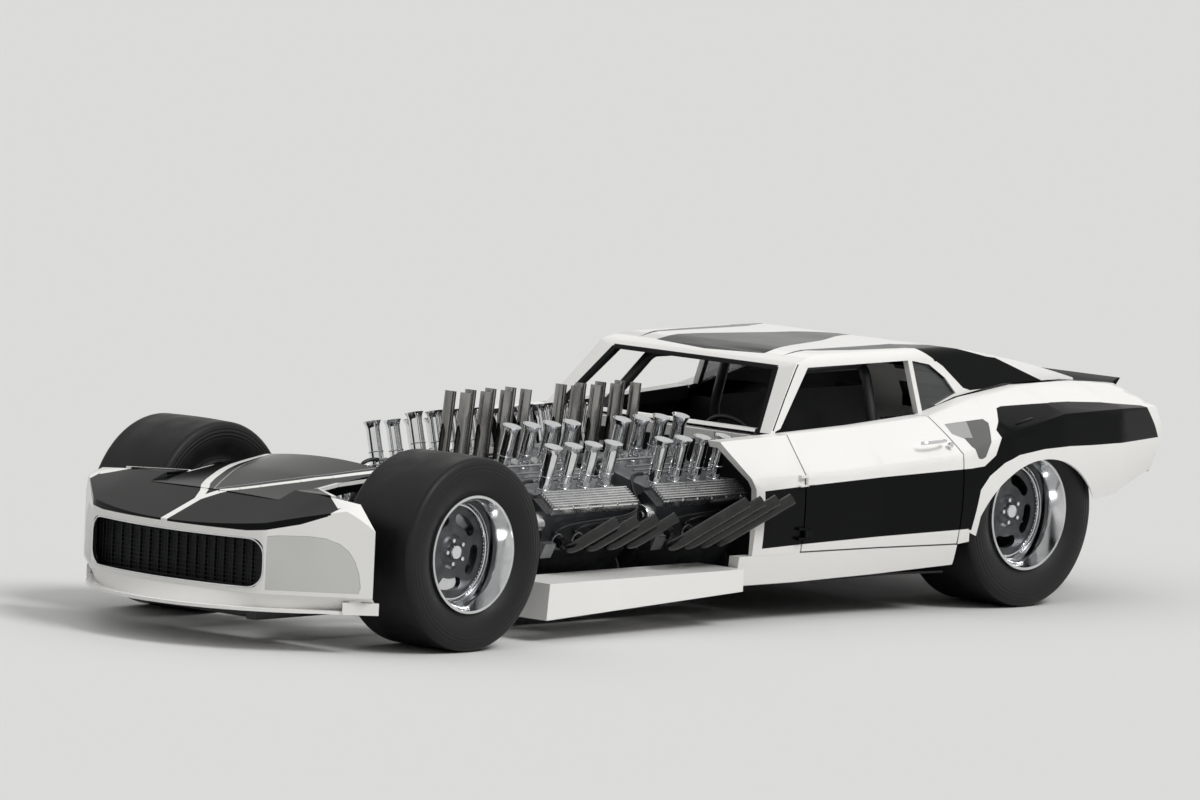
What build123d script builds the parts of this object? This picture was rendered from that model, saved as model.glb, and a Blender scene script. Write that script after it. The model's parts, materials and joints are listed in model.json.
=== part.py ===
from build123d import *
import os
from math import sin, cos, radians, degrees, atan2

# Four-engined, four-wheel-drive exhibition drag car with a low fastback body
# Frame: +X forward, +Y to the car's left, +Z up, origin on the ground at mid-wheelbase, mm

# Wheels and axles
wheelbase = 3153.0
rim_face_y = 821.0
rim_width = 327.0
rim_flange_r = 220.0
rim_seat_r = 204.0
rim_well_r = 192.0
rim_skin = 8.0
dish_depth = 110.0
disc_thick = 26.0
hub_bore_r = 30.3
hub_length = 86.0
hub_r = 62.0
slot_count = 5
slot_mid_r = 124.0
slot_wide = 44.0
slot_sweep = 34.0
tyre_r = 364.0
tyre_bulge = 14.0
tread_half = 158.0
tyre_wall = 22.0
wheel_clear = 8.0

# Running clearances
seat = 0.3
spindle_clear = 0.3
panel_gap = 6.0

# Steering
kingpin_y = 547.0
kingpin_r = 14.0
knuckle_r = 30.0
knuckle_half = 55.0
yoke_plate = 18.0
arm_length = 130.0
arm_thick = 16.0
rod_r = 12.0
eye_half = 14.0

# Axles and frame
axle_tube_r = 38.0
diff_r = 115.0
diff_offset_y = 120.0
pinion_reach = 170.0
drive_case_r = 84.0
shaft_r = 32.0
rail_low_z = 95.0
rail_height = 55.0
rail_width = 50.0
rail_main_y = 370.0
rail_front_y = 275.0
rail_bend_x = (960.0, 1080.0)
rail_front_x = 2180.0
rail_rear_x = -2290.0
cross_x = (2110.0, 1080.0, -1200.0, -2240.0)
cross_width = 50.0
outrigger_x = (850.0, 120.0)
push_bar_x = -2460.0

# Engines: four vee-eights in two canted pairs
bore_pitch = 111.25
engine_pitch = 617.0
engine_front_x = 614.0
crank_y = 236.0
crank_z = 235.0
engine_cant = 14.5
block_length = 540.0
end_cover = 33.0
stack_row_u = 112.0
stack_lip_w = 503.0
stack_base_w = 322.0
stack_r = 26.5
stack_lip_r = 36.0
stack_skin = 3.0
cover_length = 470.0
fin_count = 7
fin_pitch = 13.0
fin_wide = 5.0
fin_high = 11.0
inner_pipe_r = 22.0
inner_pipe_y = 40.0
inner_pipe_low_z = 506.0
inner_pipe_top_z = 855.0
inner_pipe_lean = 40.0
inner_pipe_ahead = 70.0
header_r = 22.0
head_face_u = 233.6
header_sweep = (-254.0, 150.0, 176.0)
pipe_wall = 3.0

# Body
body_skin = 12.0
door_skin = 50.0
cowl_skin = 25.0
cowl_strip_z = 650.0
sill_skin = 58.0
floor_thick = 8.0
sill_top_z = 264.0
door_front_x = -347.0
door_swing_r = 805.0
door_hinge_y = 757.0
hinge_z = (340.0, 540.0)
hinge_r = 8.0
hinge_lug_r = 6.0
hinge_pin_r = 4.0
roof_skin = 26.0
roof_crest_z = 1010.0
screen_base = (-300.0, 690.0)
screen_top = (-535.0, 958.0)
deck_start_x = -2150.0
tail_x = -2406.0
tail_wall = 12.0
belt_y = 640.0
deck_half_y = 560.0
wheel_room_y = 838.0
arch_x = -1600.0
arch_half = 345.0
arch_side_z = 370.0
arch_top_z = 580.0
glass_thick = 5.0

# Cabin fittings
driver_y = 120.0
cage_tube_r = 20.0
cage_leg = (-440.0, 455.0)

# Nose
nose_front_x = 2380.0
grille_half_y = 445.0
grille_x = 2300.0
fender_rear_x = 2032.0
fender_half_y = 746.0
fender_low_z = 215.0
nose_edge_z = 446.0
fender_peak = (665.0, 556.0)
nose_skin = 14.0
hood_front_x = 2122.0
hood_half_y = 330.0
hood_rear_x = 1520.0
hood_rear_half = 318.0
hood_rear_z = 640.0
chin_thick = 12.0
chin_front_x = 2460.0

# Side pod ahead of the door
pod_x = (1095.0, 0.0)
pod_y = (520.0, 760.0)
pod_top_z = 222.0
pod_low_z = (85.0, 137.0)
pod_skin = 12.0

tilt_sin = sin(radians(engine_cant))
tilt_cos = cos(radians(engine_cant))
axle_x = wheelbase / 2
rail_top_z = rail_low_z + rail_height
floor_z = rail_top_z + seat


def box(x0, x1, y0, y1, z0, z1):
    """Box between two corners, given in any order."""
    centre = ((x0 + x1) / 2, (y0 + y1) / 2, (z0 + z1) / 2)
    return Pos(*centre) * Box(abs(x1 - x0), abs(y1 - y0), abs(z1 - z0))


def mirrored(part):
    """The same piece for the other side of the car."""
    return mirror(part, about=Plane.XZ)


def prism_y(points, y0, y1):
    """Side-view outline (x, z) carried across the car from y0 to y1."""
    outline = Polyline(*[(x, y0, z) for x, z in points], close=True)
    return extrude(make_face(outline), amount=y1 - y0, dir=(0, 1, 0))


def prism_x(points, x0, x1):
    """Front-view outline (y, z) carried along the car from x0 to x1."""
    outline = Polyline(*[(x0, y, z) for y, z in points], close=True)
    return extrude(make_face(outline), amount=x1 - x0, dir=(1, 0, 0))


def prism_z(points, z0, z1):
    """Plan outline (x, y) carried up from z0 to z1."""
    outline = Polyline(*[(x, y, z0) for x, y in points], close=True)
    return extrude(make_face(outline), amount=z1 - z0, dir=(0, 0, 1))


def bar(start, end, radius):
    """Round bar between two points."""
    axis = Vector(*end) - Vector(*start)
    plane = Plane(origin=start, z_dir=axis)
    return extrude(plane * Circle(radius), amount=axis.length)


def pipe(points, radius, bend, wall=0.0):
    """Bent tube through the points, hollow when a wall is given."""
    path = FilletPolyline(*points, radius=bend)
    start = Plane(origin=points[0], z_dir=Vector(*points[1]) - Vector(*points[0]))
    ring = start * Circle(radius)
    if wall:
        ring = start * (Circle(radius) - Circle(radius - wall))
    return sweep(ring, path=path)


def spun(profile):
    """Ring or disc whose outline is (radius, y) about the wheel's axle line."""
    outline = Polyline(*[(radius, y, 0) for radius, y in profile], close=True)
    return revolve(make_face(outline), axis=Axis.Y)


# Wheels, with y counted inward from the outer rim plane as negative


def make_rim():
    """Deep-dished rim with a slotted centre set back in the barrel."""
    back = -rim_width
    disc_y = -dish_depth
    inner_r = rim_well_r - rim_skin
    profile = [
        (rim_flange_r, 0), (rim_flange_r, -12), (rim_seat_r, -15), (rim_seat_r, -45),
        (rim_well_r, -60), (rim_well_r, back + 60), (rim_seat_r, back + 45),
        (rim_seat_r, back + 15), (rim_flange_r, back + 12), (rim_flange_r, back),
        (rim_flange_r - 12, back), (inner_r, back + 58), (inner_r, disc_y - disc_thick - 8),
        (150, disc_y - disc_thick - 4), (80, disc_y - disc_thick), (hub_r, disc_y - disc_thick - 6),
        (hub_r, disc_y - hub_length), (hub_bore_r, disc_y - hub_length), (hub_bore_r, disc_y + 8),
        (56, disc_y + 8), (64, disc_y), (150, disc_y - 8), (inner_r, disc_y - 4),
        (inner_r, -58), (rim_flange_r - 22, -26), (rim_flange_r - 10, 0),
    ]
    rim = spun(profile)
    slot = SlotArc(CenterArc((0, 0), slot_mid_r, -slot_sweep / 2, slot_sweep), slot_wide)
    cutter = extrude(Plane.XZ * slot, amount=rim_width)
    for index in range(slot_count):
        rim -= Rot(Y=90 + index * 360 / slot_count) * cutter
    return rim


def make_tyre():
    """Wide smooth slick with a bulged sidewall."""
    mid = -rim_width / 2
    bead = rim_seat_r + seat
    edge = mid + tread_half
    outer = [
        (bead, -15.6), (rim_flange_r + 2, -12.6), (288, tyre_bulge),
        (tyre_r - 16, edge + 14), (tyre_r - 3, edge - 10), (tyre_r, mid),
    ]
    inner = [(bead, -44), (232, -38), (288, tyre_bulge - tyre_wall), (tyre_r - tyre_wall, edge - 12)]
    flip = [(radius, 2 * mid - y) for radius, y in reversed(outer[:-1])]
    flip_inner = [(radius, 2 * mid - y) for radius, y in inner]
    wall_in = [(x, y, 0) for x, y in flip_inner] + [(x, y, 0) for x, y in reversed(inner)]
    left = ThreePointArc((outer[1][0], outer[1][1]), outer[2], outer[3])
    shoulder = ThreePointArc(outer[3], (tyre_r - 6, edge + 5), outer[4])
    crown = ThreePointArc(outer[4], outer[5], flip[0])
    shoulder_back = ThreePointArc(flip[0], (tyre_r - 6, 2 * mid - edge - 5), flip[1])
    right = ThreePointArc(flip[1], flip[2], flip[3])
    bead_out = Line(outer[0], outer[1])
    bead_back = Line(flip[3], flip[4])
    floor = Polyline(flip[4], *[(x, y) for x, y, _ in wall_in], outer[0])
    face = make_face([bead_out, left, shoulder, crown, shoulder_back, right, bead_back, floor])
    return revolve(face, axis=Axis.Y)


def place_wheel(part, x, side):
    """Left wheels face +Y, right wheels are their mirror image."""
    placed = Pos(x, rim_face_y, tyre_r) * part
    return placed if side > 0 else mirrored(placed)


# Steering and axles


def make_knuckle():
    """Kingpin boss, wheel spindle and leading steering arm."""
    at = Pos(axle_x, kingpin_y, tyre_r)
    knuckle = at * Cylinder(knuckle_r, 2 * knuckle_half)
    spindle_end = rim_face_y - dish_depth + 6
    spindle_r = hub_bore_r - spindle_clear
    knuckle += bar((axle_x, kingpin_y, tyre_r), (axle_x, spindle_end, tyre_r), spindle_r)
    shoulder_end = rim_face_y - dish_depth - hub_length - seat
    knuckle += bar((axle_x, kingpin_y, tyre_r), (axle_x, shoulder_end, tyre_r), spindle_r + 12)
    arm_z = tyre_r - knuckle_half
    arm_end = axle_x + arm_length
    knuckle += box(axle_x, arm_end, kingpin_y - 16, kingpin_y + 16, arm_z, arm_z + arm_thick)
    knuckle += Pos(arm_end, kingpin_y, arm_z + arm_thick / 2) * Cylinder(20, arm_thick)
    return knuckle - at * Cylinder(kingpin_r + seat, 3 * knuckle_half)


def make_track_rod():
    """Rod between the steering arms, its flat eyes just above them."""
    centre_z = tyre_r - knuckle_half + arm_thick + 2 * seat + eye_half
    x = axle_x + arm_length
    rod = bar((x, -kingpin_y, centre_z), (x, kingpin_y, centre_z), rod_r)
    for side in (-1, 1):
        rod += Pos(x, side * kingpin_y, centre_z) * Cylinder(18, 2 * eye_half)
    return rod


def make_axle_end():
    """Fork that holds the knuckle, with its kingpin."""
    boss_gap = knuckle_half + 1
    top = tyre_r + boss_gap
    low = tyre_r - boss_gap
    reach = kingpin_y - 32
    fork = box(axle_x - 26, axle_x + 26, reach - 40, kingpin_y + 24, top, top + yoke_plate)
    fork += box(axle_x - 26, axle_x + 26, reach - 40, kingpin_y + 24, low - yoke_plate, low)
    fork += box(axle_x - 26, axle_x + 26, reach - 40, reach - 4, low - yoke_plate, top + yoke_plate)
    fork += Pos(axle_x, kingpin_y, tyre_r) * Cylinder(kingpin_r, 2 * (boss_gap + yoke_plate))
    return fork


def make_differential(x, side):
    """Round centre casing with a pinion nose."""
    y = side * diff_offset_y
    nose = bar((x, y, tyre_r), (x - side * pinion_reach, y, tyre_r), 52)
    return Pos(x, y, tyre_r) * Sphere(diff_r) + nose


def make_front_axle():
    """Live front axle: casing offset to the left, forks at the ends."""
    tube = bar((axle_x, -kingpin_y + 50, tyre_r), (axle_x, kingpin_y - 50, tyre_r), axle_tube_r)
    axle = tube + make_differential(axle_x, 1)
    end = make_axle_end()
    return axle + end + mirrored(end)


def make_rear_axle():
    """Live rear axle with a spindle for each rear wheel."""
    stop = rim_face_y - dish_depth - hub_length - seat
    tube = bar((-axle_x, -stop, tyre_r), (-axle_x, stop, tyre_r), axle_tube_r)
    spindle_end = rim_face_y - dish_depth + 6
    spindle_r = hub_bore_r - spindle_clear
    spindle = bar((-axle_x, -spindle_end, tyre_r), (-axle_x, spindle_end, tyre_r), spindle_r)
    return tube + spindle + make_differential(-axle_x, -1)


def make_drive(side):
    """Transfer casing on the outer engine end and its propeller shaft."""
    if side > 0:
        start = engine_front_x + block_length / 2 + end_cover + 10.6
        turn = 1
    else:
        start = engine_front_x - engine_pitch - block_length / 2 - end_cover - 10.6
        turn = -1
    y = side * crank_y
    casing = bar((start, y, crank_z), (start + turn * 48, y, crank_z), drive_case_r)
    pinion_x = turn * (axle_x - pinion_reach - seat)
    flange_x = pinion_x - turn * 22
    flange_y = side * diff_offset_y
    flange = bar((flange_x, flange_y, tyre_r), (pinion_x, flange_y, tyre_r), 48)
    shaft_start = (start + turn * 40, y, crank_z)
    return casing + flange + bar(shaft_start, (flange_x + turn * 8, flange_y, tyre_r), shaft_r)


# Frame


def make_rail():
    """One frame rail, drawn in towards the front to clear the steered wheels."""
    outer = rail_main_y + rail_width / 2
    inner = rail_main_y - rail_width / 2
    front_outer = rail_front_y + rail_width / 2
    front_inner = rail_front_y - rail_width / 2
    plan = [
        (rail_rear_x, inner), (rail_bend_x[0], inner), (rail_bend_x[1], front_inner),
        (rail_front_x, front_inner), (rail_front_x, front_outer), (rail_bend_x[1], front_outer),
        (rail_bend_x[0], outer), (rail_rear_x, outer),
    ]
    return prism_z(plan, rail_low_z, rail_top_z)


def make_engine_plate(x0, x1):
    """Engine plate standing on the rails, cut away over the crank line."""
    half = rail_main_y + rail_width / 2
    top = crank_z + 110
    outline = [
        (-half, rail_low_z), (half, rail_low_z), (half, crank_z - 20), (crank_y + 90, top),
        (crank_y - 110, top), (70, crank_z + 20), (-70, crank_z + 20), (110 - crank_y, top),
        (-crank_y - 90, top), (-half, crank_z - 20),
    ]
    return prism_x(outline, x0, x1)


def make_frame_rails():
    """Two rails, crossmembers, engine plates and axle stands in one weldment."""
    rail = make_rail()
    frame = rail + mirrored(rail)
    for x in cross_x:
        half = rail_front_y if x > rail_bend_x[0] else rail_main_y
        frame += box(x - cross_width / 2, x + cross_width / 2, -half, half, rail_low_z, rail_top_z)
    front_end = engine_front_x + block_length / 2 + end_cover
    rear_end = engine_front_x - engine_pitch - block_length / 2 - end_cover
    mid = engine_front_x - engine_pitch / 2
    gap_half = (engine_pitch - block_length - 2 * end_cover) / 2 - seat
    for x0, x1 in (
        (front_end + seat, front_end + seat + 10),
        (mid - gap_half, mid + gap_half),
        (rear_end - seat - 10, rear_end - seat),
    ):
        frame += make_engine_plate(x0, x1)
    for x in outrigger_x:
        for side in (-1, 1):
            reach = side * (pod_y[0] - seat)
            frame += box(x - 20, x + 20, side * rail_main_y, reach, rail_low_z, rail_top_z)
    for side in (-1, 1):
        frame += box(rail_rear_x, push_bar_x, side * 130 - 20, side * 130 + 20, rail_low_z, rail_top_z)
    frame += box(rail_rear_x, rail_rear_x + 20, -rail_main_y, rail_main_y, rail_low_z, rail_top_z)
    frame += box(push_bar_x, push_bar_x + 20, -190, 190, rail_low_z, rail_top_z + 30)
    for x, y in ((axle_x, rail_front_y), (-axle_x, rail_main_y)):
        saddle = Pos(x, 0, tyre_r) * Rot(X=90) * Cylinder(axle_tube_r + seat, 2 * rim_face_y)
        for side in (-1, 1):
            stand = box(x - 30, x + 30, side * y - 22, side * y + 22, rail_top_z - 10, tyre_r - 26)
            frame += stand - saddle
    return frame


# Engines, drawn about the crank line: u outward, w up along the engine's own centre


def engine_place(part, front, side):
    """Stand an engine part on its crank, leaning outward."""
    x = engine_front_x if front else engine_front_x - engine_pitch
    placed = Pos(x, crank_y, crank_z) * Rot(X=-engine_cant) * part
    return placed if side > 0 else mirrored(placed)


def cylinder_x():
    """Offsets of the four cylinders of a bank from the engine's middle."""
    return [bore_pitch * (1.5 - index) for index in range(4)]


def make_valve_cover():
    """Finned cover outline along its base line, carried along the head."""
    half = (fin_count - 1) * fin_pitch / 2 + 8
    outline = [(-half, -2), (half, -2), (half, 24)]
    for index in range(fin_count):
        s = half - 8 - index * fin_pitch
        outline += [(s + fin_wide / 2, 26), (s + fin_wide / 2, 26 + fin_high)]
        outline += [(s - fin_wide / 2, 26 + fin_high), (s - fin_wide / 2, 26)]
    outline += [(-half, 24)]
    cover = prism_x(outline, -cover_length / 2, cover_length / 2)
    low = (232.0, 280.0)
    high = (150.0, 312.0)
    slope = degrees(atan2(high[1] - low[1], low[0] - high[0]))
    return Pos(0, (low[0] + high[0]) / 2, (low[1] + high[1]) / 2) * Rot(X=-slope) * cover


def make_engine():
    """Block, sump, end covers, two heads with their finned covers and front drive disc."""
    half = block_length / 2
    right = [(105, -125), (115, -45), (140, 0), (195, 95), (95, 195), (55, 165)]
    outline = right + [(-u, w) for u, w in reversed(right)]
    engine = prism_x(outline, -half, half)
    end = [(90, -110), (110, 0), (80, 120), (-80, 120), (-110, 0), (-90, -110)]
    engine += prism_x(end, -half - end_cover, half + end_cover)
    head = [
        (196, 92), (head_face_u, 134), (head_face_u, 215), (232, 282), (150, 314), (122, 258), (92, 196),
    ]
    cover = make_valve_cover()
    for side in (1, -1):
        bank = prism_x([(side * u, w) for u, w in head], -half + 12, half - 12)
        engine += bank
        engine += cover if side > 0 else mirrored(cover)
    disc_at = (half - 14, 196, 236)
    engine += bar(disc_at, (half + 24, disc_at[1], disc_at[2]), 40)
    bracket = [(196, 92), (252, 112), (264, 172), (226, 172)]
    engine += prism_x(bracket, half - 72, half - 12)
    return engine


def make_injection():
    """Valley manifold with two rows of four flared intake stacks."""
    manifold = [
        (-52, 165.3), (52, 165.3), (84, 192), (84, 258), (132, 296), (138, stack_base_w),
        (-138, stack_base_w), (-132, 296), (-84, 258), (-84, 192),
    ]
    unit = prism_x(manifold, -block_length / 2 + 30, block_length / 2 - 30)
    neck = stack_lip_w - 34
    bore = stack_r - stack_skin
    root = stack_base_w - 4
    stop = stack_base_w + 40
    lip_in = (stack_lip_r - stack_skin, stack_lip_w)
    flare = ThreePointArc((stack_r, neck), (stack_r + 2.5, stack_lip_w - 15), (stack_lip_r, stack_lip_w))
    inside = ThreePointArc((bore, neck), (bore + 3, stack_lip_w - 12), lip_in)
    wall = Polyline((stack_r, neck), (stack_r, root), (0, root), (0, stop))
    bottom = Polyline((0, stop), (bore, stop), (bore, neck))
    lip = Line((stack_lip_r, stack_lip_w), lip_in)
    profile = Plane.XZ * make_face([flare, lip, inside, bottom, wall])
    stack = revolve(profile, axis=Axis.Z)
    for row in (-1, 1):
        for x in cylinder_x():
            unit += Pos(x, row * stack_row_u, 0) * stack
    return unit


def head_point(front, along, u, w):
    """A point of a left engine, given in its own directions, in the car's frame."""
    x = (engine_front_x if front else engine_front_x - engine_pitch) + along
    return (x, crank_y + u * tilt_cos + w * tilt_sin, crank_z - u * tilt_sin + w * tilt_cos)


def make_outer_headers():
    """Eight open pipes of one side, sweeping out, back and up from the outer heads."""
    pipes = []
    for front in (True, False):
        reach = 0.6 if front else 1.0
        for index, along in enumerate(cylinder_x()):
            port = head_point(front, along, head_face_u + seat, 172)
            out = head_point(front, along, head_face_u + 46, 172)
            ahead = 50 if front else 178 + 26 * index
            low = (port[0] + ahead, 625 if front else 690, 326 if front else 315)
            sweep_back = [length * reach for length in header_sweep]
            end = [low[axis] + sweep_back[axis] for axis in range(3)]
            pipes.append(pipe([port, out, low, tuple(end)], header_r, 40, pipe_wall))
    return Compound(children=pipes)


def make_inner_exhausts():
    """Sixteen straight pipes standing along the centre line, leaning back."""
    pipes = []
    for front in (True, False):
        for along in cylinder_x():
            x = head_point(front, along, 0, 0)[0]
            low = (x + inner_pipe_ahead, inner_pipe_y, inner_pipe_low_z)
            top = (x + inner_pipe_ahead - inner_pipe_lean, inner_pipe_y, inner_pipe_top_z)
            outer = bar(low, top, inner_pipe_r)
            bore_low = (low[0], low[1], low[2] + 60)
            bore_top = (top[0] - 4, top[1], top[2] + 30)
            stub_z = inner_pipe_low_z + 18
            outer += bar((low[0] - 2, inner_pipe_y, stub_z), (low[0] - 2, 65.3, stub_z), 14)
            upright = outer - bar(bore_low, bore_top, inner_pipe_r - pipe_wall)
            pipes.append(upright)
            pipes.append(mirrored(upright))
    return Compound(children=pipes)


# Body panels are cut from one lofted lower body and one cabin top


# x, low z, low y, middle y, middle z, shoulder y, shoulder z, belt y, belt z
body_sections = (
    (60.0, 150.0, 702.0, 738.0, 380.0, 735.0, 560.0, 640.0, 695.0),
    (-345.0, 150.0, 712.0, 750.0, 380.0, 746.0, 565.0, 640.0, 706.0),
    (-750.0, 162.0, 742.0, 784.0, 388.0, 778.0, 584.0, 643.0, 720.0),
    (-1150.0, 185.0, 802.0, 846.0, 405.0, 838.0, 615.0, 650.0, 744.0),
    (-1400.0, 240.0, 838.0, 872.0, 460.0, 868.0, 690.0, 646.0, 800.0),
    (-1700.0, 300.0, 838.0, 878.0, 520.0, 874.0, 752.0, 640.0, 836.0),
    (-2060.0, 330.0, 812.0, 864.0, 540.0, 858.0, 755.0, 632.0, 838.0),
    (-2410.0, 400.0, 690.0, 770.0, 580.0, 765.0, 740.0, 590.0, 812.0),
)


def body_section(row, inset, drop):
    """Closed front-view outline of the lower body at one station."""
    x, low_z, low_y, mid_y, mid_z, shoulder_y, shoulder_z, top_y, top_z = row
    low = (x, low_y - inset, low_z - drop)
    mid = (x, mid_y - inset, mid_z)
    shoulder = (x, shoulder_y - inset, shoulder_z - inset * 0.5)
    top = (x, top_y - inset, top_z - inset)

    def flip(point):
        return (point[0], -point[1], point[2])

    edges = [
        ThreePointArc(low, mid, shoulder), Line(shoulder, top), Line(top, flip(top)),
        Line(flip(top), flip(shoulder)), ThreePointArc(flip(shoulder), flip(mid), flip(low)),
        Line(flip(low), low),
    ]
    return make_face(edges)


def lower_body(inset=0.0, drop=0.0):
    """Lofted lower body from the cowl to the tail."""
    return loft([body_section(row, inset, drop) for row in body_sections], ruled=True)


def tail_outline(wall):
    """Side view of the tail: deck edge, overhanging panel and tucked-up underside."""
    top = [(100, -90), (100, 900), (-2290 + wall, 900)]
    back = [(-2300, 822), (-2352, 762), (-2400, 664), (tail_x, 604), (-2378, 572), (-2362, 500)]
    foot = [(-2362 + wall, -90)] if wall else [(-2280, 408), (-2010, 322), (-1960, -90)]
    return top + [(x + wall, z) for x, z in back] + foot


def body_shell(skin):
    """Lower body wall of one thickness, open below and under the cabin top."""
    outer = lower_body() & prism_y(tail_outline(0), -1000, 1000)
    inner = lower_body(skin, 120) & prism_y(tail_outline(tail_wall), -1000, 1000)
    shell = outer - inner
    return shell - box(deck_start_x, 200, -belt_y + 62, belt_y - 62, 560, 1000)


def arch_cutter():
    """Low flat-topped rear wheel opening."""
    ahead = (arch_x + arch_half, 0, arch_side_z)
    behind = (arch_x - arch_half, 0, arch_side_z)
    round_top = ThreePointArc(behind, (arch_x - 10, 0, arch_top_z), ahead)
    sides = Polyline(ahead, (ahead[0] + 40, 0, 0), (behind[0] + 20, 0, 0), behind)
    return extrude(make_face([round_top, sides]), amount=1000, dir=(0, 1, 0))


def door_swing(radius):
    """Upright drum about the door hinge, for the edges that follow the swing."""
    return Pos(door_front_x, door_hinge_y, 400) * Cylinder(radius, 1400)


def hinge_barrel(z):
    """Door half of one hinge: barrel and leaf."""
    at = Pos(door_front_x, door_hinge_y, z)
    leaf = box(door_front_x - 45, door_front_x - 2, door_hinge_y - 14, door_hinge_y, z - 14, z + 14)
    return at * Cylinder(hinge_r, 28) + leaf - at * Cylinder(hinge_pin_r + seat, 40)


def hinge_pin(z):
    """Cowl half of one hinge: pin held between two lugs."""
    at = Pos(door_front_x, door_hinge_y, z)
    pin = at * Cylinder(hinge_pin_r, 48)
    for side in (-1, 1):
        low = z + side * (14 + seat)
        high = z + side * 24
        middle = (low + high) / 2
        pin += Pos(door_front_x, door_hinge_y, middle) * Cylinder(hinge_lug_r, 10 - seat)
        pin += box(door_front_x, door_front_x + 42, door_hinge_y - 5, door_hinge_y + 5, low, high)
        pin += box(door_front_x + 10, door_front_x + 42, door_hinge_y - 16, door_hinge_y, low, high)
    return pin


def make_door():
    """Door wall below the window, its rear edge following the swing."""
    wall = body_shell(door_skin) & door_swing(door_swing_r)
    door = wall & box(door_front_x - 1, -1300, 300, 1000, sill_top_z + panel_gap, 900)
    for z in hinge_z:
        door += hinge_barrel(z)
    return door


def make_quarter():
    """Rear side panel with the wheel opening and the side scoop recess."""
    quarter = body_shell(body_skin) & box(-1050, tail_x - 10, deck_half_y, 1000, 100, 1000)
    quarter -= door_swing(door_swing_r + panel_gap)
    quarter -= arch_cutter()
    wheel_room = bar((-axle_x, 400, tyre_r), (-axle_x, wheel_room_y, tyre_r), tyre_r + wheel_clear)
    return quarter - wheel_room


deck_low = ((deck_start_x, 800.0), (-2300.0, 781.0), (-2355.0, 790.0))


def make_tail_panel():
    """Rear panel between the quarters."""
    half = deck_half_y - seat
    wall = body_shell(body_skin) & box(-2200, tail_x - 10, -half, half, 100, 900)
    under = [(x, z - seat) for x, z in deck_low] + [(tail_x - 60, deck_low[-1][1] - seat)]
    return wall - prism_y(under + [(tail_x - 60, 1000), (deck_low[0][0], 1000)], -700, 700)


def make_deck_lid():
    """Short rear deck with an upturned lip at its trailing edge."""
    half = deck_half_y - seat
    top = [(deck_start_x, 820), (-2280, 800), (-2340, 815), (-2380, 858), (-2395, 856)]
    return prism_y(top + list(reversed(deck_low)), -half, half)


def make_sill():
    """Body edge below the door."""
    wall = body_shell(sill_skin) & door_swing(door_swing_r + panel_gap - seat)
    return wall & box(-8, -1200, 300, 1000, 0, sill_top_z)


def make_side_pod():
    """Open-bottomed pod between front wheel and door, and the sill behind its seam."""
    front, back = pod_x
    low_front, low_back = pod_low_z
    side = [(front, low_front), (front - 12, pod_top_z), (back, pod_top_z), (back, low_back)]
    pod = prism_y(side, pod_y[0], pod_y[1])
    inner = (pod_y[0] + pod_skin, pod_y[1] - pod_skin)
    pod -= box(front - 30, back + pod_skin, inner[0], inner[1], 0, pod_top_z - pod_skin)
    return Compound(children=[pod, make_sill()])


def make_cowl():
    """Body ahead of the doors: side stubs and the strip below the screen."""
    wall = body_shell(cowl_skin)
    foot = sill_top_z + seat
    side = [(40, 760), (33, 690), (-72, 520), (-76, foot), (-341, foot), (-341, 760)]
    cowl = wall & prism_y(side, -900, 900)
    strip = [(-302, cowl_strip_z), (-302, 690), (-341, 693), (-341, cowl_strip_z)]
    cowl += prism_y(strip, -590, 590)
    for z in hinge_z:
        pins = hinge_pin(z)
        cowl += pins + mirrored(pins)
    return cowl


def make_firewall():
    """Bulkhead between engines and cabin, kept inside the door walls and open over the shaft."""
    foot = floor_z + floor_thick + seat
    top = cowl_strip_z - seat
    side = [(-322, top), (-334, top), (-402, 430), (-402, foot), (-390, foot), (-390, 430)]
    plate = prism_y(side, -800, 800) & lower_body(sill_skin + seat, 120)
    return plate - tunnel_form(3.0, 60)


def tunnel_form(grow, extra):
    """Raised cover over the rear shaft, from firewall to the back of the floor."""
    ends = []
    for x, y, half, top in ((-402.5 + extra, -crank_y, 70, 300), (-1150, -150, 78, 404)):
        outline = [
            (y - half - 16 - grow, floor_z), (y - half - grow, top + grow),
            (y + half + grow, top + grow), (y + half + 16 + grow, floor_z),
        ]
        ends.append(make_face(Polyline(*[(x, a, b) for a, b in outline], close=True)))
    return loft(ends, ruled=True)


def make_floor_pan():
    """Cabin floor with a tunnel over the rear shaft and boxed-in rear wheels."""
    floor = box(-370, -1150, -900, 900, floor_z, floor_z + floor_thick)
    floor &= lower_body(sill_skin + seat, 120)
    floor += tunnel_form(0, 0)
    floor -= tunnel_form(-floor_thick, 0)
    for side in (-1, 1):
        floor += box(-1130, -2040, side * 425, side * 433, floor_z, 720)
        floor += box(-1172, -1180, side * 425, side * 600, floor_z, 700)
        floor += box(-2032, -2040, side * 425, side * 600, 345, 720)
    return floor - bar((-axle_x, -600, tyre_r), (-axle_x, 600, tyre_r), axle_tube_r + 6)


# Cabin top


def cabin_section(x, base_y, rail_y, inset):
    """Front view of the cabin top at one station."""
    base = (x, base_y - inset, 640)
    side = (x, rail_y + 22 - inset, roof_crest_z - 70)
    corner = (x, rail_y + 8 - inset, roof_crest_z - 40 - inset * 0.5)
    rail = (x, rail_y - 34 - inset, roof_crest_z - 24 - inset)
    crest = (x, 0, roof_crest_z - inset)

    def flip(point):
        return (point[0], -point[1], point[2])

    edges = [
        Line(base, side), ThreePointArc(side, corner, rail), ThreePointArc(rail, crest, flip(rail)),
        ThreePointArc(flip(rail), flip(corner), flip(side)), Line(flip(side), flip(base)),
        Line(flip(base), base),
    ]
    return make_face(edges)


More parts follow.
